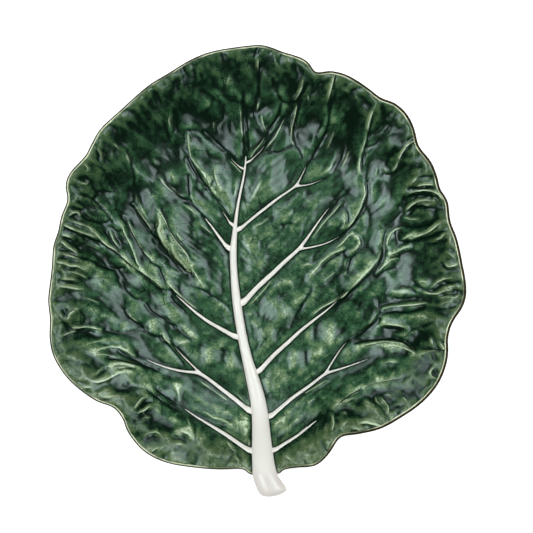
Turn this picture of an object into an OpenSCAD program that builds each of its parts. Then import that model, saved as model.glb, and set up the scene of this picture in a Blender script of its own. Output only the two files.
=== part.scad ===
// A moulded, glazed earthenware plate in the form of one cabbage leaf.
// The leaf lies face up, with the tip towards +Y and the stalk towards -Y.
// The plate stands on its foot ring at z = 0, with X and Y zero at the middle of the plate.

/* [Plate] */
// Length from the cut end of the stalk to the tip of the leaf
plate_l = 266; // [220:1:320]
// Width across the widest lobes
plate_w = 246.5; // [205:0.5:300]
// Thickness of the clay under the well
wall = 5; // [4:0.1:7]
// Rise of the leaf from the well to the rim
bowl_h = 19; // [14:0.5:26]
// Thickness of the rounded lip
lip_t = 4.2; // [3:0.1:5.5]

/* [Well] */
// Radius of the flat well
well_r = 76; // [66:0.5:84]
// Distance of the well's centre from the middle of the plate, towards the tip
well_y = 6; // [2:0.5:9]

/* [Ruffles] */
// Height of the ruffles at the rim
ruffle_h = 2.4; // [0:0.1:3.5]
// Number of broad ruffles round the rim
broad_ruffles = 5; // [3:1:8]
// Number of narrow ruffles round the rim
narrow_ruffles = 12; // [9:1:16]

/* [Relief] */
// Height of the main folds of the leaf
fold_h = 1.8; // [0.5:0.1:2.2]
// Distance from the crest of a fold to where it has nearly faded
fold_w = 5.5; // [4.5:0.1:8]
// Depth of the trough that each vein lies in
trough_d = 1; // [0:0.1:1.4]
// Reach of a trough beyond the edge of its vein
trough_w = 6; // [5:0.1:9]
// Height of the soft blisters between the veins
blister_h = 0.5; // [0:0.1:0.8]
// Distance from one blister to the next
blister_w = 21; // [17:0.5:30]

/* [Midrib] */
// Width of the stalk near its cut end
stalk_w = 18.5; // [15:0.5:23]
// Height of the midrib's crown at the stalk
midrib_h = 4.4; // [3:0.1:5.5]
// Depth of the stalk's end below the face of the leaf
stalk_d = 5; // [3:0.1:6]

/* [Side veins] */
// Width of a full side vein at its root
vein_w = 3.2; // [2.4:0.1:4]
// Extra width of a side vein where it leaves the midrib
flare_w = 0.7; // [0:0.1:3]
// Height of a full side vein's crown
vein_h = 1.2; // [0.8:0.1:1.8]
// Clearance between a vein and the leaf or the rib beside it
seat_gap = 0.25; // [0.2:0.01:0.35]

/* [Foot ring] */
// Height of the foot ring below the leaf
foot_h = 4; // [3:0.1:6]
// Width of the flat tread that the plate stands on
tread_w = 3; // [2:0.1:4]
// Width of the foot ring where it meets the leaf
root_w = 8; // [6:0.1:10]
// Distance from the edge of the well to the foot ring
foot_inset = 3; // [1:0.1:6]
// Bevel at each edge of the tread
tread_bevel = 0.6; // [0.3:0.1:0.9]

/* [Hidden] */

leaf_colour = [0.30, 0.44, 0.33];
vein_colour = [0.93, 0.92, 0.88];
foot_colour = [0.90, 0.88, 0.82];

// Places on the leaf are read in pixels of a picture taken straight from above, x to the right
// and y down. These four say where the plate ends in it.
left_px = 48;
right_px = 466.5;
tip_px = 44.6;
stalk_px = 496.3;

// Outline of the leaf, clockwise from the tip, with a point at each turn of a lobe
outline_px = [
    [258, 44.6], [272, 47.5], [283, 51.8], [300, 57], [309, 63], [316, 72],
    [332, 71], [350, 76.5], [368, 88], [381, 98], [395.5, 103.2], [407.5, 114.5],
    [415, 130], [419, 146], [431, 161], [437.5, 177], [440.5, 189], [448.3, 201.5],
    [450.5, 221.5], [457, 238.5], [462.5, 264], [466.5, 290], [463, 306.5], [452.8, 322],
    [448, 338], [448, 357], [440, 381.5], [423.3, 402.3], [402, 417.5], [380, 429.3],
    [357, 434.4], [340, 437.5], [329, 453.8], [315.5, 465.8], [297, 467.6], [284, 469.7],
    [278.5, 474], [265, 474.6], [251, 474.8], [242, 469], [220, 469.8], [192, 467.7],
    [164, 462.3], [142.5, 450.5], [128, 433], [122.5, 419], [113, 407.5], [97, 401.5],
    [80, 390], [64, 374], [53, 355], [49.5, 338], [50, 319], [48, 301],
    [49.7, 284], [52, 265], [53, 246], [58, 231], [61, 216], [67.2, 200],
    [65.3, 186], [70, 172.5], [85, 156.5], [91, 145], [101, 128], [119, 111.5],
    [136, 96], [150.5, 84], [171, 71.5], [190, 59.5], [210, 51.5], [232, 47.5]];

// Middle line of the midrib, from its upper end to the cut end of the stalk
midrib_px = [
    [246, 150], [244.3, 172], [239, 196], [235.4, 220], [234, 236], [232.8, 250],
    [233.4, 270], [236, 300], [241.5, 335], [247, 360], [253, 382], [259.5, 410],
    [261.5, 440], [263, 460], [265.3, 475.3], [269.1, 483], [272, 489], [271, 493.5], [268.5, 496.3]];
// Width of the midrib at each of those points, as a share of the stalk's width
midrib_width_shares = [
    0.05, 0.07, 0.09, 0.12, 0.18, 0.24,
    0.23, 0.30, 0.32, 0.36, 0.47, 0.55,
    0.56, 0.64, 0.80, 0.93, 1, 0.76, 0.35];
// The point of the midrib that stands at the edge of the leaf
edge_point = 14;

// Each side vein is a list of lines, the vein first and then its fork. A line holds its width
// share at the root, its width share at the end, and its points from the root outwards.
right_vein_px = [
    [[0.85, 0.35, [[270, 452.5], [284, 444.5], [299, 435.5], [312, 425], [322, 416.5]]]],
    [[1, 0.3, [[269, 419], [281, 409], [295, 397.5], [311, 386.5], [326, 375], [340, 370.5],
            [360, 363.5], [378, 356]]],
        [0.6, 0.3, [[326, 375], [333, 363], [343, 348], [351, 340]]]],
    [[1.1, 0.3, [[258, 374], [273, 357], [287, 344.5], [302, 330.5], [318, 318], [332, 307],
            [343, 296]]]],
    [[1.25, 0.3, [[241, 305], [256, 288.5], [271, 275], [285, 261.5], [299, 249], [311, 233],
            [322, 217], [334, 202]]],
        [0.6, 0.3, [[299, 249], [314, 246.6], [330, 242], [345, 233]]]],
    [[0.85, 0.3, [[236.5, 231], [250, 219.5], [264, 208.5], [280, 196], [296, 185],
            [304.5, 169.5], [310, 159]]],
        [0.5, 0.3, [[296, 185], [311, 183.6], [328, 176]]]],
    [[0.5, 0.3, [[247.5, 163], [256, 154], [262, 148], [268, 139]]]]];
left_vein_px = [
    [[1.05, 0.3, [[251.5, 453], [240, 445], [224, 434.5], [207, 424.5], [192, 415.5],
            [177, 404.5]]]],
    [[1.05, 0.3, [[251.5, 414], [237, 402.5], [219, 389], [200, 375], [185, 373], [168, 369.5],
            [152, 363.5], [137, 356]]],
        [0.6, 0.3, [[200, 375], [190, 365], [180, 355], [170, 343]]]],
    [[1.05, 0.3, [[238, 339], [223, 331], [207, 322], [193, 311.5], [180, 300], [170, 291]]]],
    [[0.9, 0.35, [[228.5, 250], [219, 237], [209.5, 224], [201, 213.5]]]],
    [[0.5, 0.3, [[233, 227], [225, 215], [218, 206]]]],
    [[0.45, 0.3, [[241.5, 169], [234, 161], [226, 152]]]]];

// Main folds of the leaf: a height share, above zero for a ridge and below it for a crease,
// and the points along it
folds_px = [
    [1, [[154, 206], [166, 224], [177, 243], [189, 260], [197, 281]]],
    [-0.8, [[131, 205], [146, 226], [160, 247], [178, 267], [190, 275]]],
    [0.7, [[112, 222], [124, 240], [134, 262]]],
    [0.9, [[63, 224], [93, 236], [108, 250], [125, 262], [150, 279]]],
    [-0.5, [[70, 242], [96, 252], [118, 270]]],
    [0.6, [[56, 262], [84, 268], [104, 284]]],
    [0.7, [[150, 262], [166, 283], [184, 302]]],
    [0.6, [[52, 313], [72, 315], [92, 309]]],
    [-0.6, [[58, 338], [80, 331], [104, 333]]],
    [0.7, [[78, 354], [102, 348], [124, 354]]],
    [0.7, [[88, 380], [110, 371], [138, 368]]],
    [-0.7, [[94, 390], [112, 384], [130, 384]]],
    [0.6, [[98, 396], [120, 396]]],
    [0.6, [[134, 409], [152, 397], [168, 388]]],
    [0.7, [[152, 452], [178, 436], [196, 432]]],
    [0.6, [[216, 460], [226, 448]]],
    [0.8, [[116, 160], [140, 176], [160, 190]]],
    [-0.6, [[100, 176], [128, 190]]],
    [1, [[189, 128], [190, 150], [198, 170], [213, 190]]],
    [-0.8, [[180, 158], [194, 184], [214, 204]]],
    [-0.7, [[186, 112], [206, 124], [226, 150]]],
    [0.6, [[222, 76], [232, 104], [238, 132]]],
    [-0.7, [[259, 58], [259, 80], [253, 112]]],
    [0.6, [[278, 70], [284, 96], [276, 122]]],
    [-0.6, [[310, 80], [299, 102], [295, 130], [303, 157]]],
    [0.7, [[334, 84], [328, 116], [318, 142]]],
    [-0.8, [[352, 104], [350, 134], [336, 168]]],
    [1, [[374, 106], [368, 132], [363, 154], [359, 178]]],
    [-0.6, [[412, 140], [400, 162], [384, 184]]],
    [0.7, [[424, 176], [404, 186], [388, 206]]],
    [-0.7, [[436, 206], [414, 208], [398, 222]]],
    [0.7, [[440, 228], [414, 236], [396, 254]]],
    [0.8, [[346, 231], [358, 216], [366, 194], [367, 172]]],
    [0.9, [[344, 296], [360, 282], [377, 264], [385, 242]]],
    [0.8, [[384, 292], [402, 287], [424, 290]]],
    [-0.6, [[384, 304], [410, 300], [440, 306]]],
    [0.6, [[384, 318], [404, 318], [432, 322]]],
    [-0.8, [[356, 336], [384, 333], [416, 342]]],
    [0.8, [[362, 350], [388, 346], [418, 356]]],
    [0.7, [[336, 406], [356, 391], [384, 381], [412, 376]]],
    [-0.5, [[356, 404], [380, 398], [400, 392]]],
    [0.7, [[350, 424], [374, 414]]],
    [0.6, [[296, 458], [318, 442], [332, 426]]]];

// How steeply the leaf still climbs at its rim, as a share of its mean slope
flare_share = 0.6;
// Share of the ruffles' height that the broad ones have
broad_share = 0.65;
// Turn of the broad ruffles and of the narrow ones, in degrees of their wave
broad_turn = 40;
narrow_turn = -15;
// Turn of the rows of blisters, in degrees of their wave
blister_turn = 30;
// Power by which a vein's width falls along it, and power by which its height follows its width
taper_power = 1.6;
crown_power = 0.6;
// Height of a fork's underside above its vein's, as a share of the height of a full vein, so that
// the fork runs out of the vein's flank
fork_lift_share = 0.12;

// Counts of the meshes. The rim has a point on every spoke, and the rings nearer the middle of the
// well have fewer: every second spoke, then every fourth and every eighth.
outline_steps = 3;
well_rings = 20;
rim_rings = 11;
lip_arc_steps = 4;
under_rim_rings = 3;
fine_step = 2;
middle_step = 4;
coarse_step = 8;
// Where the wider steps start, as shares of the well's radius, and where the underside has rings
coarse_share = 0.18;
middle_share = 0.43;
under_well_shares = [0.6, 0.25];
vein_steps = 2;
midrib_steps = 2;
vein_arc = 4;
midrib_arc = 8;
foot_sides = 180;

mid_px = [(left_px + right_px) / 2, (tip_px + stalk_px) / 2];
mm_per_px = [plate_w / (right_px - left_px), plate_l / (stalk_px - tip_px)];
well_c = [0, well_y];
lip_r = lip_t / 2;
foot_r = well_r - foot_inset - root_w / 2;
spokes = len(outline_px) * outline_steps;

// A place in pixels, in millimetres from the middle of the plate
function place(px) = [(px[0] - mid_px[0]) * mm_per_px[0], (mid_px[1] - px[1]) * mm_per_px[1]];

function unit_range(v) = max(0, min(1, v));
function mix(a, b, t) = a + (b - a) * t;
function angle_of(v) = atan2(v[1], v[0]);
function sum(list) = list * [for (v = list) 1];

// A point between b and c on a smooth curve through a, b, c and d
function curve(a, b, c, d, t) =
    b + ((c - a) * t + (2 * a - 5 * b + 4 * c - d) * t * t + (3 * b - a - 3 * c + d) * t * t * t) / 2;

// A smooth closed curve through all the points
function closed_curve(points, steps) = let (n = len(points))
    [for (i = [0:n - 1]) for (k = [0:steps - 1])
        curve(points[(i + n - 1) % n], points[i], points[(i + 1) % n], points[(i + 2) % n], k / steps)];

// A smooth open curve through all the points, from the first to the last
function open_curve(points, steps) = let (n = len(points))
    [for (i = [0:n - 2]) for (k = [0:steps - 1])
        curve(points[max(i - 1, 0)], points[i], points[i + 1], points[min(i + 2, n - 1)], k / steps),
        points[n - 1]];

// The leaf's edge as seen from the centre of the well: angle and distance
outline = closed_curve([for (px = outline_px) place(px)], outline_steps);
edge_table = [for (p = outline) for (turn = [-360, 0, 360])
    [angle_of(p - well_c) + turn, norm(p - well_c)]];

// How far out a point lies between the well and the leaf's edge, from 0 to 1
function rim_share(p) = let (v = p - well_c)
    unit_range((norm(v) - well_r) / (lookup(angle_of(v), edge_table) - well_r));

// Rise of the leaf from the well to the rim, steepest halfway
function rise(s) = bowl_h * s * s * (3 - flare_share + (flare_share - 2) * s);

function ruffle(a, s) = ruffle_h * s * s * (broad_share * cos(broad_ruffles * a + broad_turn)
    + (1 - broad_share) * cos(narrow_ruffles * a + narrow_turn));

// The leaf's face before any relief
function dish(p, s) = foot_h + wall + rise(s) + ruffle(angle_of(p - well_c), s);

// Width of a line that tapers from its root to its end
function taper(line, t) = vein_w * mix(line[0], line[1], pow(t, taper_power));

// All ribs as points with half a width: the midrib, then each vein and fork
midrib_line = [for (i = [0:len(midrib_px) - 1])
    concat(place(midrib_px[i]), stalk_w * midrib_width_shares[i] / 2)];
function rib_line(line) = let (n = len(line[2]))
    [for (i = [0:n - 1]) concat(place(line[2][i]), taper(line, i / (n - 1)) / 2)];
rib_lines = [midrib_line,
    for (vein = concat(right_vein_px, left_vein_px)) for (line = vein) rib_line(line)];
fold_lines = [for (fold = folds_px) [fold[0], [for (px = fold[1]) concat(place(px), 0)]]];

// Distance from a point to the edge of a rib, which is 0 under the rib
function span_distance(p, a, b) = let (
        from_a = p - [a[0], a[1]],
        along = [b[0] - a[0], b[1] - a[1]],
        t = unit_range(from_a * along / (along * along)))
    max(0, norm(from_a - along * t) - mix(a[2], b[2], t));
function line_distance(p, line) =
    min([for (i = [0:len(line) - 2]) span_distance(p, line[i], line[i + 1])]);
function rib_distance(p) = min([for (line = rib_lines) line_distance(p, line)]);

// A soft bump that is 1 at zero distance and has faded at about twice the width
function bump(distance, width) = exp(-pow(distance / width, 2));

function folds(p) = fold_h
    * sum([for (fold = fold_lines) fold[0] * bump(line_distance(p, fold[1]), fold_w)]);

function blisters(p) = let (wave = 360 / blister_w * p)
    blister_h * sin(wave[0] + blister_turn) * sin(wave[1]);

// Height of the leaf's face at a point: the dish with its troughs, blisters and folds
function leaf_z(p) = let (near = bump(rib_distance(p), trough_w))
    dish(p, rim_share(p)) - trough_d * near + (1 - near) * (blisters(p) + folds(p));

// Height of the leaf's underside, flat under the well and thinning to the lip
function under_z(p) = let (s = rim_share(p)) dish(p, s) - mix(wall, lip_t, s);

// The leaf as rings of points, from the middle of its face out over the lip and back below
function face_step(share) =
    share < coarse_share ? coarse_step : share < middle_share ? middle_step : fine_step;
function under_step(share) = share < middle_share ? coarse_step : middle_step;
function spoke(j) = (outline[j] - well_c) / norm(outline[j] - well_c);
function reach(j) = norm(outline[j] - well_c) - lip_r;
function well_point(j, share) = well_c + spoke(j) * well_r * share;
function rim_point(j, share) = well_c + spoke(j) * mix(well_r, reach(j), share);
function raised(p, z) = [p[0], p[1], z];

face_well = [for (i = [1:well_rings]) let (share = i / well_rings)
    [for (j = [0:face_step(share):spokes - 1]) well_point(j, share)]];
face_rim = [for (i = [1:rim_rings]) [for (j = [0:spokes - 1]) rim_point(j, i / rim_rings)]];

function lip_ring(angle) = [for (j = [0:spokes - 1]) let (p = rim_point(j, 1))
    raised(p + spoke(j) * lip_r * cos(angle), leaf_z(p) - lip_r + lip_r * sin(angle))];

function face_rings() =
    [for (ring = concat(face_well, face_rim)) [for (p = ring) raised(p, leaf_z(p))]];
function lip_rings() = [for (i = [1:lip_arc_steps]) lip_ring(90 - 180 * i / lip_arc_steps)];
function under_rings() = [
    for (i = [under_rim_rings:-1:0]) let (share = i / (under_rim_rings + 1))
        [for (j = [0:fine_step:spokes - 1]) let (p = rim_point(j, share)) raised(p, under_z(p))],
    for (share = under_well_shares)
        [for (j = [0:under_step(share):spokes - 1]) raised(well_point(j, share), foot_h)]];

// Triangles between two neighbouring rings, whose counts are alike or differ by a factor of two
function band(a, na, b, nb) =
    na == nb ? [for (i = [0:na - 1]) let (k = (i + 1) % na)
        each [[a + i, b + i, b + k], [a + i, b + k, a + k]]]
    : nb > na ? [for (i = [0:na - 1]) let (k = (i + 1) % na)
        each [[a + i, b + 2 * i, b + 2 * i + 1], [a + i, b + 2 * i + 1, a + k],
            [a + k, b + 2 * i + 1, b + 2 * k]]]
    : [for (i = [0:nb - 1]) let (k = (i + 1) % nb)
        each [[a + 2 * i, b + i, a + 2 * i + 1], [a + 2 * i + 1, b + i, b + k],
            [a + 2 * i + 1, b + k, a + 2 * k]]];

// Running totals, which say where each ring starts in the list of points
function starts(counts, i = 0, total = 0) =
    i == len(counts) ? [] : concat([total], starts(counts, i + 1, total + counts[i]));

module leaf_blade() {
    rings = concat(face_rings(), lip_rings(), under_rings());
    counts = [for (ring = rings) len(ring)];
    first = starts(counts);
    top = sum(counts);
    last = len(rings) - 1;
    middles = [raised(well_c, leaf_z(well_c)), raised(well_c, foot_h)];
    points = concat([for (ring = rings) each ring], middles);
    faces = concat(
        [for (i = [0:counts[0] - 1]) [top, i, (i + 1) % counts[0]]],
        [for (r = [0:last - 1]) each band(first[r], counts[r], first[r + 1], counts[r + 1])],
        [for (i = [0:counts[last] - 1])
            [first[last] + i, top + 1, first[last] + (i + 1) % counts[last]]]);
    color(leaf_colour) polyhedron(points, faces, convexity = 6);
}

// One cross-section of a rib: over the crown from the right edge to the left, and back below.
// half is the vector from the middle to the right edge, crown the height of the crown, lift the
// underside's height over the leaf and drop how far it sags below that.
function rib_ring(c, half, crown, lift, drop, arc) = [
    for (i = [0:arc]) let (a = 180 * i / arc, p = c + half * cos(a))
        raised(p, leaf_z(p) + lift + crown * sin(a)),
    for (i = [1:arc / 2 - 1]) let (a = 180 + 360 * i / arc, p = c + half * cos(a))
        raised(p, leaf_z(p) + lift + drop * sin(a))];

// A closed solid through cross-sections that have the same number of points
module swept(rings, arc) {
    m = len(rings[0]);
    n = len(rings);
    crest = arc / 2;
    function cap(start, flip) = [for (i = [0:m - 1]) let (k = (i + 1) % m)
        if (i != crest && k != crest) flip ? [start + crest, start + k, start + i]
            : [start + crest, start + i, start + k]];
    faces = concat(cap(0, true), cap((n - 1) * m, false),
        [for (r = [0:n - 2]) for (i = [0:m - 1]) let (a = r * m, b = a + m, k = (i + 1) % m)
            each [[a + i, a + k, b + k], [a + i, b + k, b + i]]]);
    polyhedron([for (ring = rings) each ring], faces, convexity = 6);
}

// The midrib's middle line and width, from its upper end to the stalk
function midrib_curve() = open_curve(midrib_line, midrib_steps);

// The midrib lies on the leaf, and past the leaf's edge it is a full round stalk
module midrib() {
    line = midrib_curve();
    edge = edge_point * midrib_steps;
    color(vein_colour) swept([for (i = [0:len(line) - 1]) let (
            p = line[i],
            full = pow(2 * p[2] / stalk_w, crown_power))
        rib_ring([p[0], p[1]], [-p[2], 0], midrib_h * full, seat_gap, i > edge ? stalk_d * full : 0,
            midrib_arc)], midrib_arc);
}

// The midrib's edge at a height y on the side given: 1 is right and -1 is left
midrib_x_table = [for (p = midrib_curve()) [p[1], p[0]]];
midrib_half_table = [for (p = midrib_curve()) [p[1], p[2]]];
function midrib_edge(y, side) = [lookup(y, midrib_x_table) + side * lookup(y, midrib_half_table), y];

// The vector across a vein to its right edge, and at its root along the edge of the midrib
function across(direction, half_w) = [direction[1], -direction[0]] / norm(direction) * half_w;
function root_across(y, side, direction, half_w) = let (
        along = midrib_edge(y + vein_w, side) - midrib_edge(y - vein_w, side),
        unit = along / norm(along),
        square = across(direction, 1),
        lean = unit * square)
    unit * half_w / lean;

// The cross-sections of one line of a vein. A side of 0 marks a fork, which starts in its vein.
function vein_rings(line, side, lift) = let (
        points = [for (px = line[2]) place(px)],
        root = side == 0 ? points[0] : midrib_edge(points[0][1], side) + [side * seat_gap, 0],
        path = open_curve([for (i = [0:len(points) - 1]) i == 0 ? root : points[i]], vein_steps),
        n = len(path))
    [for (i = [0:n - 1]) let (
            flare = side == 0 ? 0 : flare_w * bump(norm(path[i] - path[0]), vein_w),
            width = taper(line, i / (n - 1)) + flare,
            direction = path[min(i + 1, n - 1)] - path[max(i - 1, 0)],
            half = i == 0 && side != 0 ? root_across(root[1], side, direction, width / 2)
                : across(direction, width / 2))
        rib_ring(path[i], half, vein_h * pow(width / vein_w, crown_power), lift, 0, vein_arc)];

module side_vein(lines, side) {
    color(vein_colour) {
        swept(vein_rings(lines[0], side, seat_gap), vein_arc);
        if (len(lines) > 1)
            swept(vein_rings(lines[1], 0, seat_gap + vein_h * fork_lift_share), vein_arc);
    }
}

// The foot ring stands round the well, with its tread wiped bare and bevelled at both edges
module foot_ring() {
    color(foot_colour) translate([0, well_y, 0]) rotate_extrude($fn = foot_sides) polygon([
        [foot_r - tread_w / 2, 0], [foot_r + tread_w / 2, 0],
        [foot_r + tread_w / 2 + tread_bevel, tread_bevel], [foot_r + root_w / 2, foot_h],
        [foot_r - root_w / 2, foot_h], [foot_r - tread_w / 2 - tread_bevel, tread_bevel]]);
}

leaf_blade();
foot_ring();
midrib();
side_vein(right_vein_px[0], 1);  // right_vein_1
side_vein(right_vein_px[1], 1);  // right_vein_2
side_vein(right_vein_px[2], 1);  // right_vein_3
side_vein(right_vein_px[3], 1);  // right_vein_4
side_vein(right_vein_px[4], 1);  // right_vein_5
side_vein(right_vein_px[5], 1);  // right_vein_6
side_vein(left_vein_px[0], -1);  // left_vein_1
side_vein(left_vein_px[1], -1);  // left_vein_2
side_vein(left_vein_px[2], -1);  // left_vein_3
side_vein(left_vein_px[3], -1);  // left_vein_4
side_vein(left_vein_px[4], -1);  // left_vein_5
side_vein(left_vein_px[5], -1);  // left_vein_6
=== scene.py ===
# %% [markdown]
# # A cabbage leaf plate
# The plate is one piece of moulded earthenware: a dished green leaf with a white midrib, white side
# veins and a foot ring. This notebook dresses its measured solids: it refines the leaf's relief,
# glazes every region, and sets up the light and the camera.

# %% Load the frame
import math

import bmesh
import bpy
import numpy as np
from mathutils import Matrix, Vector, noise
from mathutils.bvhtree import BVHTree
from mathutils.kdtree import KDTree


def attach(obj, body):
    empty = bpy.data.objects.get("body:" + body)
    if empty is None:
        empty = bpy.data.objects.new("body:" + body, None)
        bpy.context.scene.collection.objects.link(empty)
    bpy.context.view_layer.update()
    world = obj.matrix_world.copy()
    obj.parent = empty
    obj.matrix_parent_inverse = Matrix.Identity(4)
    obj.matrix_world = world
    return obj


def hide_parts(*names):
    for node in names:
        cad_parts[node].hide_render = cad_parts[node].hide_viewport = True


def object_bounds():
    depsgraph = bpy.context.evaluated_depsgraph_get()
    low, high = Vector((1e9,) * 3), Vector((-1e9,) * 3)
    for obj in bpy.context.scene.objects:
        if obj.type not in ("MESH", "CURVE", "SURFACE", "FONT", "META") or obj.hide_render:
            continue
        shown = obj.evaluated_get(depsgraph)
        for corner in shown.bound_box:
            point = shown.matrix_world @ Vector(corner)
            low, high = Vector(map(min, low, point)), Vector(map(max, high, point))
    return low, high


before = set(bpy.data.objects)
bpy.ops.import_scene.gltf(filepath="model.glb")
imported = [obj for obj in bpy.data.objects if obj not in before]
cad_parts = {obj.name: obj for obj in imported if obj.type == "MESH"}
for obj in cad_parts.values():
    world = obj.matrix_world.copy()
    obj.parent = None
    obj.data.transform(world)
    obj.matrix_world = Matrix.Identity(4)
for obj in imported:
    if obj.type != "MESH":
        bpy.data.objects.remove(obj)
cad_low, cad_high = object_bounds()
print("solids:", sorted(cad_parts))

# %% [markdown]
# ## The picture's grid
# The picture looks straight down on the plate, so a pixel in it is a place on the leaf. Four pixels
# say where the plate ends, and the frame's box says how large that is.

# %% From pixels to metres
PICTURE_SIDE_PX = 533
LEFT_PX, RIGHT_PX = 48, 466.5
TIP_PX, STALK_PX = 44.6, 496.3
MIDDLE_PX = np.array([(LEFT_PX + RIGHT_PX) / 2, (TIP_PX + STALK_PX) / 2])
M_PER_PX = (cad_high.y - cad_low.y) / (STALK_PX - TIP_PX)
MM = 0.001


def to_px(points):
    """Pixels of points given in metres, one row each."""
    return MIDDLE_PX + points[:, :2] * [1, -1] / M_PER_PX


print("a pixel is", round(M_PER_PX / MM, 3), "mm wide")

# %% [markdown]
# ## The camera
# A long lens from high above sees a shallow plate almost without perspective. Its length gives the
# leaf's rim, not the table, the picture's scale.

# %% Camera straight above the plate
CAMERA_HEIGHT = 1.6
RIM_HEIGHT = cad_high.z * 0.8
SENSOR_WIDTH_MM = 36
lens = bpy.data.cameras.new("overhead")
lens.sensor_width = SENSOR_WIDTH_MM
lens.lens = SENSOR_WIDTH_MM * (CAMERA_HEIGHT - RIM_HEIGHT) / (PICTURE_SIDE_PX * M_PER_PX)
camera = bpy.data.objects.new("overhead", lens)
aim_px = PICTURE_SIDE_PX / 2 - MIDDLE_PX
camera.location = (aim_px[0] * M_PER_PX, -aim_px[1] * M_PER_PX, CAMERA_HEIGHT)
bpy.context.collection.objects.link(camera)
bpy.context.scene.camera = camera
print("lens:", round(lens.lens), "mm")

# %% [markdown]
# Blender's usual look for scenes turns the picture's pure white into grey. The Standard look keeps each
# colour as the material gives it, so the glazes can be matched.

# %% Look of the picture
bpy.context.scene.view_settings.view_transform = "Standard"
print("look:", bpy.context.scene.view_settings.view_transform)

# %% [markdown]
# ## Smooth copies of the solids
# The solids are made of flat triangles of about four millimetres. Merged and paired into quads, they
# can be rounded by a Subdivision Surface, which gives points enough for fine relief. It is then made
# real, so that the points can be moved.

# %% A rounded copy of a solid
SUBDIVISIONS = 2
LOOSE_GAP = 0.002 * MM
BEND_OF_A_PAIR = math.radians(60)
SKEW_OF_A_PAIR = math.radians(70)


def rounded_copy(node, name):
    """A smooth mesh object in the shape of a solid, with real points."""
    piece = bpy.data.objects.new(name, bpy.data.meshes.new(name))
    bpy.context.collection.objects.link(piece)
    bm = bmesh.new()
    bm.from_mesh(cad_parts[node].data)
    bmesh.ops.remove_doubles(bm, verts=bm.verts, dist=LOOSE_GAP)
    bmesh.ops.join_triangles(
        bm, faces=bm.faces, angle_face_threshold=BEND_OF_A_PAIR, angle_shape_threshold=SKEW_OF_A_PAIR)
    bm.to_mesh(piece.data)
    bm.free()
    rounding = piece.modifiers.new("rounding", "SUBSURF")
    rounding.levels = rounding.render_levels = SUBDIVISIONS
    smooth = bpy.data.meshes.new_from_object(piece.evaluated_get(bpy.context.evaluated_depsgraph_get()))
    piece.modifiers.clear()
    piece.data = smooth
    smooth.name = name
    smooth.materials.clear()
    smooth.shade_smooth()
    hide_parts(node)
    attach(piece, "root")
    return piece


# %% Reading and moving the points of a mesh
def rows_of(piece, field="co"):
    """A mesh's points, or another field such as normal, as rows of x, y and z."""
    rows = np.empty(len(piece.data.vertices) * 3)
    piece.data.vertices.foreach_get(field, rows)
    return rows.reshape(-1, 3)


def move_points(piece, points):
    """Puts a mesh's points at new places."""
    piece.data.vertices.foreach_set("co", points.ravel())
    piece.data.update()


def store(piece, name, values):
    """Keeps one number for each point, which a material can read by name."""
    layer = piece.data.attributes.new(name, "FLOAT", "POINT")
    layer.data.foreach_set("value", values.astype(np.float32))


def surface_of(piece):
    """A piece's surface, ready to be asked for the nearest place on it."""
    return BVHTree.FromObject(piece, bpy.context.evaluated_depsgraph_get())


def least_gap(points, pieces, reach):
    """How far each point is from the nearest piece, or the reach where that is farther."""
    least = np.full(len(points), reach)
    for surface in map(surface_of, pieces):
        for i, point in enumerate(points):
            gap = surface.find_nearest(point, reach)[3]
            if gap is not None:
                least[i] = min(least[i], gap)
    return least


# %% [markdown]
# ## Midrib and side veins
# The ribs should grow out of the leaf, so each is let into it by a little more than the clearance
# that keeps the solids apart.

# %% Ribs let into the leaf
SINK = 0.32 * MM
RIBS = [name for name in sorted(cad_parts) if name == "midrib" or "vein" in name]
ribs = []
for node in RIBS:
    rib = rounded_copy(node, node + "_relief")
    move_points(rib, rows_of(rib) - [0, 0, SINK])
    ribs.append(rib)
midrib = ribs[RIBS.index("midrib")]
veins = [rib for rib in ribs if rib is not midrib]
print("ribs:", len(ribs), "with", sum(len(rib.data.polygons) for rib in ribs), "faces")

# %% [markdown]
# The midrib swells just above its stalk, away from its middle line, which is read off its points.

# %% Midrib wider above the stalk
MIDRIB_STATIONS = 60
STATION_REACH = 4 * MM
SWELL_PX = 450
SWELL_REACH_PX = 24
SWELL_SHARE = 0.17
points = rows_of(midrib)
stations = np.linspace(points[:, 1].min(), points[:, 1].max(), MIDRIB_STATIONS)
station_middles = [points[np.abs(points[:, 1] - y) < STATION_REACH, 0].mean() for y in stations]


def midrib_x(y):
    """Where the middle of the midrib lies across the leaf."""
    return np.interp(y, stations, station_middles)


swell = np.exp(-((to_px(points)[:, 1] - SWELL_PX) / SWELL_REACH_PX) ** 2)
middles = midrib_x(points[:, 1])
points[:, 0] = middles + (points[:, 0] - middles) * (1 + SWELL_SHARE * swell)
move_points(midrib, points)
print("widened:", int((swell > 0.1).sum()), "points of the midrib")

# %% [markdown]
# A side vein grows out of the midrib. The nearer a point of it is to the midrib, the more it is drawn
# onto the midrib's surface and on below it, which closes the seam between the solids.

# %% Roots drawn into the midrib
ROOT_REACH = 2.4 * MM
ROOT_DEPTH = 1.3 * MM
midrib_surface = surface_of(midrib)
for vein in veins:
    points = rows_of(vein)
    for point in points:
        seat, normal, face, gap = midrib_surface.find_nearest(point, ROOT_REACH)
        if seat is not None:
            near = 1 - gap / ROOT_REACH
            point += (np.array(seat) - point) * near
            point[0] += ROOT_DEPTH * near * (1 if point[0] < midrib_x(point[1]) else -1)
    move_points(vein, points)

# %% [markdown]
# Towards its end a vein thins and sinks, so it runs out into the leaf and doesn't stop short. For the
# glaze, the ribs keep how far they have faded and how near they come to each other.

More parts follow.
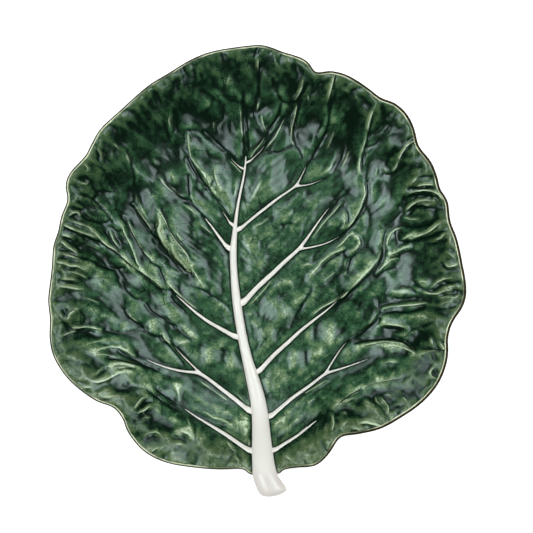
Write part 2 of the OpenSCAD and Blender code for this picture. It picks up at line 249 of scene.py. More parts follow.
# %% Fading ends and joints
VEIN_ENDS_PX = [
    (322, 416.5), (378, 356), (351, 340), (343, 296), (334, 202), (345, 233), (310, 159), (328, 176),
    (268, 139), (177, 404.5), (137, 356), (170, 343), (170, 291), (201, 213.5), (218, 206), (226, 152),
    (246, 150)]
TAPER_LENGTH = 34 * MM
SLIMMER_ALL_ALONG = 0.20 * MM
SLIMMER_AT_END = 0.24 * MM
FADE_LENGTH = 14 * MM
FADE_DEPTH = 0.95 * MM
JOINT_REACH = 1.8 * MM
for rib in ribs:
    points = rows_of(rib)
    end_gaps = [np.linalg.norm(to_px(points) - end, axis=1) for end in VEIN_ENDS_PX]
    end_gap = np.min(end_gaps, axis=0) * M_PER_PX
    fade = np.clip(1 - end_gap / FADE_LENGTH, 0, 1)
    if rib is not midrib:
        slimmer = SLIMMER_ALL_ALONG + SLIMMER_AT_END * np.clip(1 - end_gap / TAPER_LENGTH, 0, 1)
        points[:, :2] -= rows_of(rib, "normal")[:, :2] * slimmer[:, None]
    points[:, 2] -= FADE_DEPTH * fade ** 2
    move_points(rib, points)
    store(rib, "fade", fade)
for rib in ribs:
    others = veins if rib is midrib else [midrib]
    store(rib, "joint", 1 - least_gap(rows_of(rib), others, JOINT_REACH) / JOINT_REACH)
print("vein ends:", len(VEIN_ENDS_PX))

# %% [markdown]
# ## The leaf
# The leaf's points are now about a millimetre apart. Its underside stays as it is, so the share by
# which a point faces up weighs all that is done to the face.

# %% Leaf mesh
FACE_STEEPNESS = 3
leaf = rounded_copy("leaf_blade", "leaf")
leaf_points = rows_of(leaf)
leaf_px = to_px(leaf_points)
facing_up = np.clip(rows_of(leaf, "normal")[:, 2] * FACE_STEEPNESS, 0, 1)
print("leaf:", len(leaf_points), "points,", sum(len(p.vertices) - 2 for p in leaf.data.polygons), "triangles")

# %% [markdown]
# Distances steer everything that follows. The gap to the nearest rib keeps folds off the ribs and sets a
# narrow dark band beside them, partly pooled glaze and partly painted shade. The gap to the leaf's edge sets
# the lip and the rim's wrinkles.

# %% Gap to the ribs
RIB_REACH = 12 * MM
rib_gap = least_gap(leaf_points, ribs, RIB_REACH)
print("beside a rib:", int((rib_gap < 2 * MM).sum()), "points")


# %% Gap to the leaf's edge
def outline_points(mesh, points):
    """Places along the edges where a face that looks up meets one that looks down."""
    corners = [len(face.vertices) for face in mesh.polygons]
    edge_of_loop = np.empty(len(mesh.loops), dtype=np.int64)
    mesh.loops.foreach_get("edge_index", edge_of_loop)
    upward = np.repeat([face.normal.z > 0 for face in mesh.polygons], corners)
    faces_up = np.bincount(edge_of_loop, upward, len(mesh.edges))
    faces_all = np.bincount(edge_of_loop, minlength=len(mesh.edges))
    turning = np.flatnonzero((faces_up > 0) & (faces_up < faces_all))
    ends = np.array([mesh.edges[i].vertices[:] for i in turning])
    starts, stops = points[ends[:, 0], :2], points[ends[:, 1], :2]
    return np.concatenate([starts + (stops - starts) * share for share in (0, 0.25, 0.5, 0.75)])


outline = outline_points(leaf.data, leaf_points)
tree = KDTree(len(outline))
for i, point in enumerate(outline):
    tree.insert((*point, 0), i)
tree.balance()
edge_gap = np.array([tree.find((x, y, 0))[2] for x, y, z in leaf_points])
print("farthest from the edge:", round(edge_gap.max() / MM, 1), "mm")

# %% [markdown]
# Subdivision draws a thin lip inwards, so the lip is moved out again to the size of the solid.

# %% Lip back at its full size
LIP_GROWTH = 0.30 * MM
LIP_WIDTH = 1.6 * MM
at_lip = np.clip(1 - edge_gap / LIP_WIDTH, 0, 1)
leaf_points[:, :2] += rows_of(leaf, "normal")[:, :2] * LIP_GROWTH * at_lip[:, None]
print("lip points:", int((at_lip > 0).sum()))

# %% [markdown]
# ## Crests and creases
# A moulder carves crests and creases by hand, and none of them follows a rule. So each is a short
# line: its height and width in tenths of the usual, then the x and y in pixels of each of its points.

# %% Crests of the leaf
CREST_HEIGHT = 0.55 * MM
CREST_WIDTH = 1.2 * MM
CRESTS_PX = [
    # Upper left
    (9, 10, 187, 133, 188, 146, 190, 156, 195, 164, 202, 172, 208, 180, 209, 186),
    (6, 8, 195, 161, 201, 169, 207, 175, 211, 179), (7, 12, 215, 165, 214, 172, 216, 180, 219, 188),
    (5, 16, 125, 152, 127, 158, 129, 163), (5, 12, 113, 143, 118, 148), (4, 14, 153, 158, 155, 164),
    (4, 14, 170, 113, 168, 120, 170, 127), (5, 10, 80, 183, 86, 184, 89, 181),
    (5, 12, 83, 163, 88, 168, 86, 172), (4, 12, 96, 147, 100, 153, 101, 160),
    (6, 16, 170, 172, 173, 178, 174, 182), (6, 13, 158, 176, 163, 183, 169, 189, 176, 193, 182, 195),
    (5, 12, 134, 194, 136, 200),
    # Left rim
    (7, 10, 68, 217, 72, 213, 77, 212, 80, 216), (9, 9, 63, 225, 72, 229, 80, 232, 88, 235, 94, 237),
    (6, 10, 70, 221, 80, 224, 88, 227, 93, 231),
    (10, 13, 93, 231, 97, 236, 101, 241, 107, 246, 114, 250, 120, 255, 127, 262, 133, 268),
    (8, 11, 133, 268, 140, 271, 147, 276, 154, 281, 161, 288), (7, 12, 61, 235, 67, 236, 72, 238),
    (7, 13, 61, 241, 66, 246, 72, 250, 77, 253), (6, 13, 62, 254, 70, 256, 79, 259),
    (7, 13, 56, 262, 63, 263, 70, 266, 77, 266, 84, 270), (9, 9, 71, 272, 78, 274, 86, 278),
    (6, 12, 61, 279, 68, 279, 75, 280), (6, 16, 58, 286, 66, 287, 76, 289, 84, 289),
    (9, 10, 67, 320, 69, 314, 75, 310), (9, 11, 71, 328, 78, 328, 85, 327, 92, 328, 100, 330),
    (5, 9, 62, 336, 69, 333, 76, 331), (5, 8, 85, 298, 92, 301, 97, 303), (4, 10, 88, 245, 96, 248),
    # Left of the midrib
    (10, 11, 133, 204, 138, 212, 143, 219, 148, 226, 150, 230), (6, 8, 137, 200, 141, 210, 146, 219),
    (9, 20, 158, 216, 159, 223, 157, 230, 160, 238, 163, 244, 166, 249),
    (9, 22, 170, 243, 172, 252, 177, 259, 183, 265, 187, 270),
    (9, 9, 156, 208, 161, 214, 166, 224, 170, 233, 175, 241, 181, 248, 187, 256, 190, 266),
    (5, 10, 175, 232, 180, 240), (9, 11, 121, 226, 124, 235, 129, 244, 133, 254, 136, 263, 140, 268),
    (7, 10, 127, 222, 131, 232, 136, 241, 141, 250, 147, 256, 153, 262),
    (7, 10, 109, 232, 112, 240, 117, 247), (9, 11, 165, 281, 171, 288, 178, 295, 187, 303, 196, 310),
    (7, 11, 184, 205, 190, 209, 196, 214), (7, 10, 189, 262, 192, 270, 197, 278, 203, 287),
    (5, 9, 200, 224, 207, 230, 212, 234), (6, 14, 125, 313, 130, 318, 136, 322),
    (5, 14, 152, 253, 151, 258),
    # Lower left
    (9, 9, 95, 352, 101, 349, 110, 347, 118, 348, 126, 352, 134, 357), (5, 9, 85, 345, 95, 342, 103, 341),
    (5, 8, 95, 355, 105, 355, 115, 358), (6, 14, 96, 375, 98, 371, 102, 369),
    (10, 16, 91, 381, 98, 382, 106, 380, 113, 376, 118, 373, 122, 372),
    (10, 20, 109, 367, 115, 364, 122, 364, 130, 366, 137, 368), (10, 22, 99, 396, 107, 397, 115, 396),
    (6, 12, 84, 387, 92, 387), (9, 12, 134, 409, 137, 404, 141, 399, 146, 397),
    (9, 11, 138, 413, 144, 411, 150, 406), (5, 10, 142, 418, 150, 418),
    (5, 10, 144, 436, 149, 433, 156, 432, 161, 435), (8, 12, 166, 437, 168, 441),
    (9, 20, 176, 433, 182, 431, 188, 434, 192, 438), (8, 18, 175, 444, 184, 445),
    (7, 9, 151, 452, 155, 449, 160, 447), (7, 9, 158, 451, 162, 448, 166, 446),
    (10, 11, 161, 333, 164, 340, 170, 345), (6, 10, 176, 346, 182, 343, 186, 342),
    (6, 14, 184, 328, 188, 331), (6, 8, 186, 331, 195, 338), (5, 10, 187, 420, 190, 428),
    (5, 16, 176, 387, 178, 396, 179, 403), (7, 9, 200, 383, 210, 390, 220, 397, 227, 402),
    (7, 9, 204, 413, 213, 419, 222, 421, 231, 426), (7, 14, 226, 441, 231, 448, 237, 455),
    (7, 10, 233, 456, 238, 460, 238, 466), (6, 16, 249, 440, 249, 448),
    (5, 9, 241, 364, 244, 378, 247, 392, 249, 403), (5, 9, 236, 395, 241, 400, 247, 407),
    # Top
    (6, 12, 258, 58, 258, 70), (8, 18, 287, 57, 289, 62), (6, 9, 240, 108, 241, 122, 242, 138),
    (7, 13, 259, 100, 257, 108), (7, 12, 261, 114, 263, 122, 266, 130),
    (8, 10, 265, 134, 261, 142, 254, 150, 250, 157),
    (6, 10, 284, 118, 280, 127, 275, 136, 270, 142, 266, 147), (9, 14, 303, 79, 302, 86, 299, 93, 295, 99),
    (6, 10, 297, 104, 295, 115, 292, 126, 292, 138, 294, 144), (10, 12, 335, 75, 332, 84, 330, 92, 329, 98),
    (6, 16, 335, 130, 331, 140, 328, 148), (6, 14, 334, 160, 332, 166, 326, 171),
    (6, 10, 230, 160, 236, 166, 241, 172), (6, 9, 229, 76, 226, 84), (5, 12, 236, 186, 234, 196),
    (5, 22, 262, 178, 256, 190, 250, 202), (5, 10, 308, 94, 309, 100), (4, 13, 213, 120, 213, 127),
    # Upper right
    (9, 14, 373, 110, 371, 116, 369, 124, 368, 130), (6, 10, 367, 134, 365, 143, 362, 152),
    (10, 12, 361, 156, 360, 165, 361, 172), (5, 16, 350, 150, 347, 158, 343, 166),
    (10, 11, 415, 141, 410, 143, 406, 147, 402, 153, 399, 160), (6, 12, 399, 160, 397, 166, 393, 171),
    (7, 15, 388, 172, 385, 167), (6, 10, 378, 168, 377, 173), (7, 13, 411, 184, 415, 180, 418, 176),
    (10, 11, 417, 186, 425, 184.5, 434, 184.5), (6, 10, 344, 89, 349, 92), (6, 10, 355, 94, 358, 99),
    (7, 10, 418, 145, 417, 150), (5, 10, 424, 162, 428, 167),
    # Right rim
    (10, 11, 409, 193, 416, 191, 424, 190, 432, 191, 438, 194, 443, 200),
    (10, 13, 407, 210, 412, 205, 418, 201, 426, 200, 434, 201), (8, 18, 422, 203, 428, 205, 433, 203),
    (5, 11, 405, 217, 412, 219, 419, 219), (9, 12, 404, 239, 409, 236, 415, 233),
    (10, 14, 413, 238, 418, 236, 424, 234, 430, 231, 436, 226, 441, 222),
    (7, 11, 436, 240, 441, 238, 445, 233), (8, 10, 403, 227, 397, 229, 392, 233, 389, 240, 387, 247),
    (6, 8, 383, 232, 382, 242, 384, 249), (9, 13, 390, 254, 397, 252, 404, 248, 410, 246),
    (9, 11, 398, 258, 392, 260, 386, 265, 381, 270, 377, 273),
    (8, 10, 433, 287, 438, 282, 444, 279, 452, 278), (9, 10, 443, 289, 449, 287, 456, 286),
    (8, 10, 424, 292, 430, 294, 438, 294, 444, 291, 451, 290),
    (6, 9, 440, 298, 447, 297, 455, 298, 459, 295), (6, 12, 440, 306, 444, 303, 452, 301),
    (9, 30, 398, 293, 405, 292, 412, 291), (10, 11, 384, 309, 392, 307, 404, 306, 415, 305, 428, 303),
    (10, 15, 384, 324, 392, 325, 400, 326, 407, 328), (5, 10, 420, 316, 426, 317),
    (9, 11, 445, 263, 448, 267, 453, 266, 458, 264), (7, 11, 447, 252, 452, 256, 456, 260),
    (6, 10, 450, 235, 450, 245), (6, 11, 420, 281, 427, 282),
    # Right of the midrib
    (7, 13, 346, 260, 346, 267), (6, 10, 345, 275, 348, 271),
    (8, 13, 365, 184, 366, 194, 362, 206, 358, 214, 353, 222, 347, 229),
    (6, 9, 345, 213, 346, 220, 344, 228), (6, 10, 342, 202, 335, 211, 328, 218, 320, 228, 313, 238),
    (9, 10, 352, 233, 348, 237, 344, 242, 338, 247),
    (9, 10, 354, 234, 359, 237, 361, 243, 357, 249, 351, 252),
    (9, 10, 344, 249, 336, 252, 328, 257, 322, 262, 318, 268, 311, 275),
    (6, 13, 336, 272, 331, 276, 324, 281),
    (7, 18, 382, 250, 379, 259, 373, 267, 365, 275, 357, 283, 350, 290),
    (9, 11, 350, 291, 344, 297, 336, 301, 328, 305, 321, 309, 314, 315),
    (5, 14, 379, 312, 375, 318, 370, 325), (5, 10, 303, 266, 308, 264, 312, 265),
    (5, 10, 254, 226, 262, 223, 268, 218), (6, 9, 272, 280, 265, 289, 258, 297, 250, 305),
    # Lower right
    (10, 11, 365, 346, 375, 344, 385, 342, 395, 343, 403, 344, 410, 348, 415, 352),
    (9, 10, 384, 347, 395, 346, 404, 348, 412, 352, 420, 357), (9, 14, 404, 337, 408, 334),
    (5, 12, 411, 333, 415, 333), (8, 12, 431, 338, 433, 345), (9, 12, 440, 343, 444, 348, 442, 352),
    (9, 10, 434, 367, 430, 372, 432, 377, 437, 379), (4, 10, 395, 372, 393, 377),
    (8, 10, 376, 397, 377, 402, 380, 404), (8, 10, 382, 399, 386, 403, 389, 408, 388, 414),
    (6, 10, 386, 395, 391, 396), (6, 10, 403, 397, 408, 402), (7, 14, 343, 413, 347, 414),
    (8, 11, 342, 426, 348, 421), (10, 16, 351, 428, 356, 428, 361, 431),
    (10, 20, 358, 423, 366, 422, 374, 424, 382, 426), (5, 10, 366, 402, 371, 405),
    (6, 14, 384, 364, 391, 362, 398, 363), (7, 10, 333, 415, 334, 424, 332, 431),
    (9, 9, 333, 409, 340, 403, 348, 397, 356, 392, 362, 388),
    (5, 8, 362, 388, 374, 384, 388, 381, 402, 378), (9, 18, 341, 403, 348, 401, 355, 398),
    (5, 12, 412, 356, 422, 354, 432, 351, 438, 350), (5, 10, 397, 405, 403, 405),
    (6, 9, 305, 395, 312, 391, 320, 386, 328, 381), (5, 8, 288, 429, 292, 425, 297, 421),
    (5, 8, 309, 404, 314, 400), (6, 9, 275, 428, 278, 424, 283, 420), (6, 14, 286, 456, 292, 461),
    (6, 9, 334, 362, 338, 355, 344, 348),
]
print("crests:", len(CRESTS_PX))

# %% Creases of the leaf
CREASE_DEPTH = 0.55 * MM
CREASE_WIDTH = 1.1 * MM
CREASES_PX = [
    # Upper left
    (13, 18, 205, 131, 213, 138, 222, 145, 230, 153, 238, 162), (7, 8, 187, 129, 196, 129, 204, 131),
    (12, 15, 187, 158, 192, 168, 199, 177, 206, 186),
    (10, 10, 206, 186, 212, 194, 218, 201, 226, 211, 231, 219), (10, 11, 187, 174, 188, 188, 189, 200),
    (8, 10, 212, 180, 209, 187), (10, 14, 80, 177.5, 86, 178.5), (7, 7, 91, 181, 93, 188, 96, 193, 94, 198),
    (7, 8, 76, 192, 84, 195, 92, 199, 97, 203, 102, 209, 107, 215, 109, 220),
    (6, 7, 80, 203, 87, 207, 94, 207, 100, 208), (8, 8, 79, 214, 88, 219, 95, 222, 102, 223, 109, 221),
    (6, 7, 104, 174, 110, 182, 114, 188, 118, 193), (5, 7, 97, 192, 105, 191, 110, 193),
    (8, 9, 126, 150, 129, 157, 131, 165, 133, 175, 133, 186), (5, 8, 88, 160, 96, 166, 104, 170),
    (6, 10, 95, 142, 97, 150, 99, 160), (6, 16, 155, 122, 158, 128), (6, 16, 134, 128, 140, 132),
    (8, 13, 174, 108, 176, 118, 176, 130), (6, 11, 163, 120, 166, 130, 169, 140),
    (5, 8, 200, 90, 208, 93, 214, 98, 221, 101), (5, 8, 213, 97, 210, 106, 205, 110),
    (5, 8, 222, 88, 226, 97, 235, 100, 241, 101), (5, 8, 224, 104, 223, 116, 216, 126, 209, 121),
    (6, 8, 230, 120, 231, 130, 236, 135, 241, 140), (6, 9, 222, 77, 224.5, 86, 228, 78),
    (5, 8, 205, 145, 208, 154, 217, 158),
    # Left rim
    (12, 13, 69, 208.5, 76, 209, 82, 210), (10, 11, 68, 215, 72, 217, 76, 215), (10, 10, 62, 225, 66, 228),
    (13, 15, 84, 237, 92, 240, 99, 242), (9, 10, 66, 229, 76, 233, 84, 237),
    (10, 11, 99, 242, 108, 248, 118, 255, 128, 264, 139, 273, 150, 282, 161, 292),
    (10, 10, 61, 237, 68, 240), (6, 8, 70, 241, 78, 248),
    (9, 9, 60, 249, 66, 251, 72, 255, 80, 258, 88, 260, 95, 263, 101, 267, 108, 269, 116, 269, 123, 267),
    (11, 12, 59, 259, 65, 257), (7, 9, 60, 265, 68, 269, 76, 270), (10, 10, 60, 280.5, 66, 282, 74, 283),
    (6, 9, 77, 248, 79, 252), (11, 13, 65, 311, 66, 317), (7, 8, 58, 316, 63, 323, 68, 328),
    (5, 8, 80, 311, 84, 316, 84, 322), (5, 10, 86, 278, 92, 279),
    # Left of the midrib
    (10, 10, 121, 217, 127, 225, 132, 236, 138, 246, 144, 255, 150, 262, 158, 268, 162, 277, 165, 283),
    (14, 18, 132, 207, 138, 215, 144, 223, 150, 231, 155, 240),
    (15, 22, 155, 240, 161, 249, 168, 256, 175, 262, 183, 269, 188, 273), (8, 10, 154, 224, 152, 230),
    (11, 11, 160, 210, 165, 220, 169, 230, 174, 238, 180, 245, 187, 252, 190, 260),
    (9, 10, 105, 232, 110, 240, 115, 248, 121, 257), (12, 15, 163, 181, 170, 188, 178, 195, 186, 200),
    (11, 12, 186, 200, 193, 205, 200, 212, 206, 220),
    (9, 12, 118, 281, 122, 288, 128, 294, 134, 299, 140, 300),
    (10, 13, 145, 305, 150, 311, 157, 316, 165, 320, 173, 327),
    (10, 13, 123, 311, 128, 318, 135, 324, 143, 330), (6, 9, 111, 227, 116, 231, 122, 229),
    (7, 8, 192, 285, 203, 291, 212, 296, 222, 303, 230, 309), (9, 12, 170, 298, 176, 305, 184, 312),
    # Lower left
    (8, 10, 70, 330, 80, 331, 90, 333), (9, 22, 78, 338, 88, 335, 98, 338),
    (8, 9, 103, 331, 112, 333, 122, 334, 132, 332, 138, 330), (11, 14, 143, 330, 150, 335, 158, 339),
    (9, 12, 173, 327, 180, 333, 190, 341), (11, 13, 108, 359, 120, 361, 132, 364, 144, 367, 156, 371),
    (10, 11, 118, 351, 126, 356, 134, 361, 142, 365), (5, 8, 62, 360, 72, 361, 80, 363),
    (9, 12, 61, 364, 66, 363), (13, 10, 97, 377, 101, 373, 106, 369), (9, 12, 90, 379, 96, 379),
    (8, 14, 80, 382, 85, 384), (8, 9, 118, 370, 126, 369, 134, 370), (12, 18, 137, 409, 142, 404, 149, 402),
    (9, 12, 142, 416, 148, 413, 153, 411), (9, 14, 118, 400, 121, 401),
    (9, 11, 145, 390, 152, 395, 158, 400, 166, 406, 174, 412),
    (10, 11, 155, 390, 164, 397, 172, 402, 178, 407), (8, 16, 147, 439, 152, 437, 158, 440),
    (8, 9, 151, 454, 156, 450), (10, 14, 175, 438.5, 184, 439.5), (6, 9, 125, 385, 132, 387, 140, 389),
    (10, 12, 160, 338, 168, 347, 176, 356, 184, 365), (8, 9, 175, 345, 183, 354, 191, 363),
    (8, 10, 231, 450, 236, 453, 240, 459), (8, 10, 227, 464, 230, 458, 233, 455),
    (8, 10, 194, 425, 195, 435, 195, 442), (7, 10, 181, 395, 181, 402, 184, 408),
    (6, 12, 197, 448, 201, 452),
    # Top
    (9, 9, 259, 62, 259, 78, 258.5, 92, 256, 103, 253, 112),
    (9, 10, 273, 80, 276, 90, 280, 97, 284, 101, 291, 102, 298, 99, 303, 91, 307, 83),
    (12, 12, 281, 103, 279, 113, 274, 121, 268, 130, 262, 138, 255, 147),
    (10, 10, 284, 116, 278, 127, 272, 136, 265, 145, 258, 152),
    (9, 9, 299, 101, 299, 108, 296, 118, 294, 128, 294, 138, 296, 145, 300, 149, 303, 156),
    (8, 9, 268, 150, 278, 151, 285, 148, 292, 144),
    (10, 9, 330, 93, 330, 108, 329, 122, 326, 132, 321, 142, 315, 152, 309, 162),
    (11, 11, 243, 92, 243, 106, 243, 120, 243.5, 135, 243.5, 148, 242, 160),
    (9, 9, 246, 106, 247, 120, 248, 135, 248.5, 150), (13, 12, 336, 74, 334.5, 80, 333, 87),
    (8, 16, 313, 80, 313, 92), (6, 10, 318, 140, 317, 130, 322, 122), (7, 20, 250, 52, 262, 53),
    # Upper right
    (7, 22, 351, 118, 350, 132, 348, 143, 343, 154, 335, 167),
    (9, 9, 373, 118, 370, 128, 368, 140, 365, 152, 363, 162, 362, 172), (11, 26, 366, 101, 368, 107),
    (11, 12, 409, 146, 413, 143, 417, 143), (9, 11, 400, 160, 403, 154, 408, 148),
    (9, 18, 395, 150, 390, 157, 386, 164), (8, 10, 385, 173, 391, 174, 398, 170, 405, 164),
    (9, 16, 413, 167, 420, 165), (10, 16, 417, 178, 424, 176, 431, 177),
    (6, 8, 366, 147, 376, 144, 384, 137, 390, 127), (6, 22, 385, 125, 396, 126),
    (9, 12, 416, 149, 419, 154),
    # Right rim
    (16, 17, 411, 188, 421, 188.5, 433, 188), (13, 18, 406, 197, 413, 195, 425, 194.5, 436, 197),
    (10, 13, 411, 211, 416, 207, 423, 206, 433, 209), (9, 16, 405, 200, 401, 205),
    (9, 18, 404, 225, 416, 227, 428, 225, 438, 218),
    (13, 16, 404, 242, 412, 241.5, 422, 239, 434, 235.5, 446, 230), (7, 10, 386, 232, 385, 240, 386, 248),
    (6, 12, 398, 236, 399, 245), (8, 10, 390, 258, 398, 257, 405, 254, 413, 252),
    (7, 10, 377, 278, 386, 271, 397, 267), (9, 13, 416, 284, 424, 289, 433, 292),
    (9, 10, 434, 290, 440, 286, 447, 284), (12, 12, 446, 282, 452, 283, 459, 282),
    (8, 10, 397, 289, 404, 285.5, 411, 287, 416, 292), (8, 11, 396, 299, 407, 299, 417, 298),
    (12, 10, 455, 290, 462, 292.5), (9, 10, 443, 295, 450, 294.5, 457, 294),
    (10, 15, 384, 314, 396, 312, 408, 313, 425, 309), (9, 11, 384, 329, 395, 329, 405, 331),
    (7, 12, 379, 300, 381, 310, 380, 320), (9, 11, 442, 263, 446, 269, 452, 270, 458, 269.5),
    (7, 10, 438, 308, 448, 309, 455, 306), (8, 10, 430, 244, 438, 243, 445, 240),
    # Right of the midrib
    (12, 13, 368, 182, 369, 192, 366, 204, 361, 214, 355, 223, 348, 230, 340, 236),
    (5, 7, 350, 191, 340, 199, 332, 208, 325, 217), (4, 7, 346, 187, 338, 195, 330, 203),
    (7, 10, 346, 206, 349, 213, 350, 221),
    (8, 10, 363, 238, 363, 246, 358, 252, 353, 258, 350, 266, 348, 272),
    (14, 19, 384, 247, 384, 256, 380, 265, 373, 273, 364, 281, 355, 289, 346, 298, 336, 307),
    (8, 11, 345, 252, 337, 256, 329, 261, 321, 268), (6, 9, 302, 260, 307, 262, 313, 261),
    (8, 18, 312, 290, 305, 301, 298, 313, 291, 326), (7, 14, 283, 225, 290, 222, 296, 224),
    # Lower right
    (12, 14, 345, 346, 353, 340, 362, 335, 371, 328, 379, 321),
    (15, 16, 357, 342, 366, 341.5, 376, 341, 386, 340, 396, 340, 405, 343, 411, 348, 415, 352),
    (8, 8, 341, 353, 346, 347, 352, 343), (8, 24, 386, 356, 396, 354, 406, 354),
    (7, 7, 366, 386, 380, 383, 392, 381, 402, 379, 410, 377),
    (10, 12, 338, 405, 346, 399, 354, 394, 362, 390), (11, 22, 340, 412, 346, 410, 351, 413),
    (12, 13, 423, 349, 432, 349, 440, 350, 447, 351), (12, 10, 440, 341, 447, 343),
    (8, 8, 401, 340, 407, 336, 413, 330, 421, 327, 433, 323), (11, 18, 436, 370, 437, 375),
    (10, 10, 431, 380, 437, 380.5), (9, 12, 373, 401, 380, 406), (8, 10, 386, 402, 391, 406),
    (9, 10, 384, 411, 387, 418), (8, 8, 375, 421, 382, 425, 390, 424),
    (9, 11, 352, 431, 362, 431.5, 372, 428), (8, 11, 392, 409, 400, 408, 406, 404),
    (8, 14, 415, 382, 419, 386), (7, 11, 416, 392, 424, 388, 431, 383),
    (8, 10, 322, 443, 326, 449, 329, 453),
]
print("creases:", len(CREASES_PX))

# %% [markdown]
# The mesh is fine enough for a soft bump along each line, but not for its sharp ridge. So the leaf
# also keeps how many fine lines away the nearest one is and on which side, and the glaze draws the
# ridge from that. The strength falls at a line's end and where two lines are equally near.


# %% How far each point lies from the lines
def nearest_on_line(pixels, line):
    """Distance from each place to a line, with a sign for its side, and to the line's nearer end."""
    steps = np.linalg.norm(line[1:] - line[:-1], axis=1)
    before = np.concatenate([[0], np.cumsum(steps)])
    gap, end_gap = np.full(len(pixels), np.inf), np.zeros(len(pixels))
    for i, length in enumerate(steps):
        along = (line[i + 1] - line[i]) / length
        from_start = pixels - line[i]
        t = np.clip(from_start @ along, 0, length)
        off = from_start - t[:, None] * along
        here = np.linalg.norm(off, axis=1) * np.where(along[0] * off[:, 1] > along[1] * off[:, 0], 1, -1)
        closer = np.abs(here) < np.abs(gap)
        gap[closer] = here[closer]
        end_gap[closer] = np.minimum(before[i] + t, before[-1] - before[i] - t)[closer]
    return gap * M_PER_PX, end_gap * M_PER_PX


def shaded_side(line):
    """1 or -1: the side of a line that lies towards the stalk and away from the midrib, turned from the
    light, where a crest's painted shade goes.
    """
    (x0, y0), (x1, y1) = line[0], line[-1]
    outwards = 1 if x0 + x1 > 2 * MIDDLE_PX[0] else -1
    return 1 if x1 - x0 > (y1 - y0) * outwards else -1


# %% Bumps along lines, and the nearest line
LINE_REACH_PX = 13
LINE_TAIL = 1.8 * MM
FINE_LINE = 0.36 * MM
LINES_KEPT = 6
LINES_APART = 3
FAR = 99.0
LEAST_BUMP_SHARE = 0.9


def carve(lines, width):
    """Soft bumps along lines, then the nearest line's gap in fine lines and its strength."""
    bumps, strength = np.zeros(len(leaf_px)), np.zeros(len(leaf_px))
    gap, second = np.full(len(leaf_px), FAR), np.full(len(leaf_px), FAR)
    for height_tenths, width_tenths, *places in lines:
        height_share, width_share = height_tenths / 10, width_tenths / 10
        line = np.reshape(np.array(places, dtype=float), (-1, 2))
        low, high = line.min(axis=0) - LINE_REACH_PX, line.max(axis=0) + LINE_REACH_PX
        near = np.flatnonzero(((leaf_px > low) & (leaf_px < high)).all(axis=1))
        here, end_gap = nearest_on_line(leaf_px[near], line)
        tail = np.clip(end_gap / (LINE_TAIL * width_share), 0, 1)
        bumps[near] += height_share * np.exp(-(here / (width * max(width_share, LEAST_BUMP_SHARE))) ** 2)
        here = here * shaded_side(line) / (FINE_LINE * width_share)
        closer = np.abs(here) < np.abs(gap[near])
        second[near] = np.where(closer, np.abs(gap[near]), np.minimum(second[near], np.abs(here)))
        gap[near[closer]] = here[closer]
        strength[near[closer]] = (height_share * tail)[closer]
    alone = np.clip((second - np.abs(gap)) / LINES_APART, 0, 1)
    strength *= alone * np.clip(LINES_APART + 1 - np.abs(gap), 0, 1)
    return bumps, np.clip(gap, -LINES_KEPT, LINES_KEPT), strength


crests, crest_gap, crest_line = carve(CRESTS_PX, CREST_WIDTH)
creases, crease_gap, crease_line = carve(CREASES_PX, CREASE_WIDTH)
print("near a crest:", int((crest_line > 0.1).sum()), "near a crease:", int((crease_line > 0.1).sum()))

# %% [markdown]
# ## Pucker, wrinkles and crumples
# Between the carved lines the leaf is uneven everywhere. Pucker and fine streaks run with the side
# veins, slanting up from the midrib, and a slow sway keeps them from lying straight.


# %% Noise over the leaf
def noise_over(places, seed):
    """A smooth noise from about -1 to 1, always the same for the same seed."""
    shift = Vector((seed * 17.3, seed * 5.1, seed * 9.7))
    return np.array([noise.noise(Vector(place) + shift) for place in places])


def flat_noise(across, along, seed):
    """Noise over two coordinates."""
    return noise_over(np.column_stack([across, along, np.zeros(len(across))]), seed)


SWAY_SIZE = 20 * MM
SWAY = 4 * MM
DIAGONAL = 1.41
x, y = leaf_points[:, 0], leaf_points[:, 1]
sway = flat_noise(x / SWAY_SIZE, y / SWAY_SIZE, 3)
across, along = (y - np.abs(x)) / DIAGONAL + sway * SWAY, (y + np.abs(x)) / DIAGONAL

PUCKER_ACROSS = 7.5 * MM
PUCKER_ALONG = 14 * MM
PUCKER_HEIGHT = 0.60 * MM
FINER = 2.1
FINER_SHARE = 0.3
pucker = flat_noise(across / PUCKER_ACROSS, along / PUCKER_ALONG, 1)
pucker += FINER_SHARE * flat_noise(x / PUCKER_ACROSS * FINER, y / PUCKER_ACROSS * FINER, 2)

STREAK_ACROSS = 3.2 * MM
STREAK_ALONG = 10 * MM
STREAK_HEIGHT = 0.16 * MM
streak = 1 - 2 * np.abs(flat_noise(across / STREAK_ACROSS, along / STREAK_ALONG, 6))
print("typical pucker:", round(PUCKER_HEIGHT * float(pucker.std()) / MM, 2), "mm")

# %% [markdown]
# Wrinkles run out to the rim, so their noise is laid round the middle of the well. Small crumples
# lie between them.

# %% Wrinkles and crumples of the rim
WRINKLES_ROUND = 46
WRINKLE_LENGTH = 22 * MM
WRINKLE_HEIGHT = 0.55 * MM
WRINKLE_REACH = 30 * MM
WRINKLE_DEPTH = 2.2
FINE_WRINKLES = 2.3
FINE_WRINKLE_DEPTH = 0.8
CALM_LIP = 2.5 * MM
LEFT_AT_LIP = 0.25
WELL_CENTRE = np.array([0, 6 * MM])
from_well = leaf_points[:, :2] - WELL_CENTRE
turn = np.arctan2(from_well[:, 1], from_well[:, 0]) + 0.10 * sway
round_places = np.column_stack([
    np.cos(turn) * WRINKLES_ROUND / math.pi, np.sin(turn) * WRINKLES_ROUND / math.pi,
    np.hypot(from_well[:, 0], from_well[:, 1]) / WRINKLE_LENGTH])
wrinkle = 1 - WRINKLE_DEPTH * np.abs(noise_over(round_places, 4))
wrinkle -= FINE_WRINKLE_DEPTH * np.abs(noise_over(round_places * FINE_WRINKLES, 5))
near_rim = np.clip(1 - edge_gap / WRINKLE_REACH, 0, 1) ** 1.2 * np.clip(edge_gap / CALM_LIP, LEFT_AT_LIP, 1)

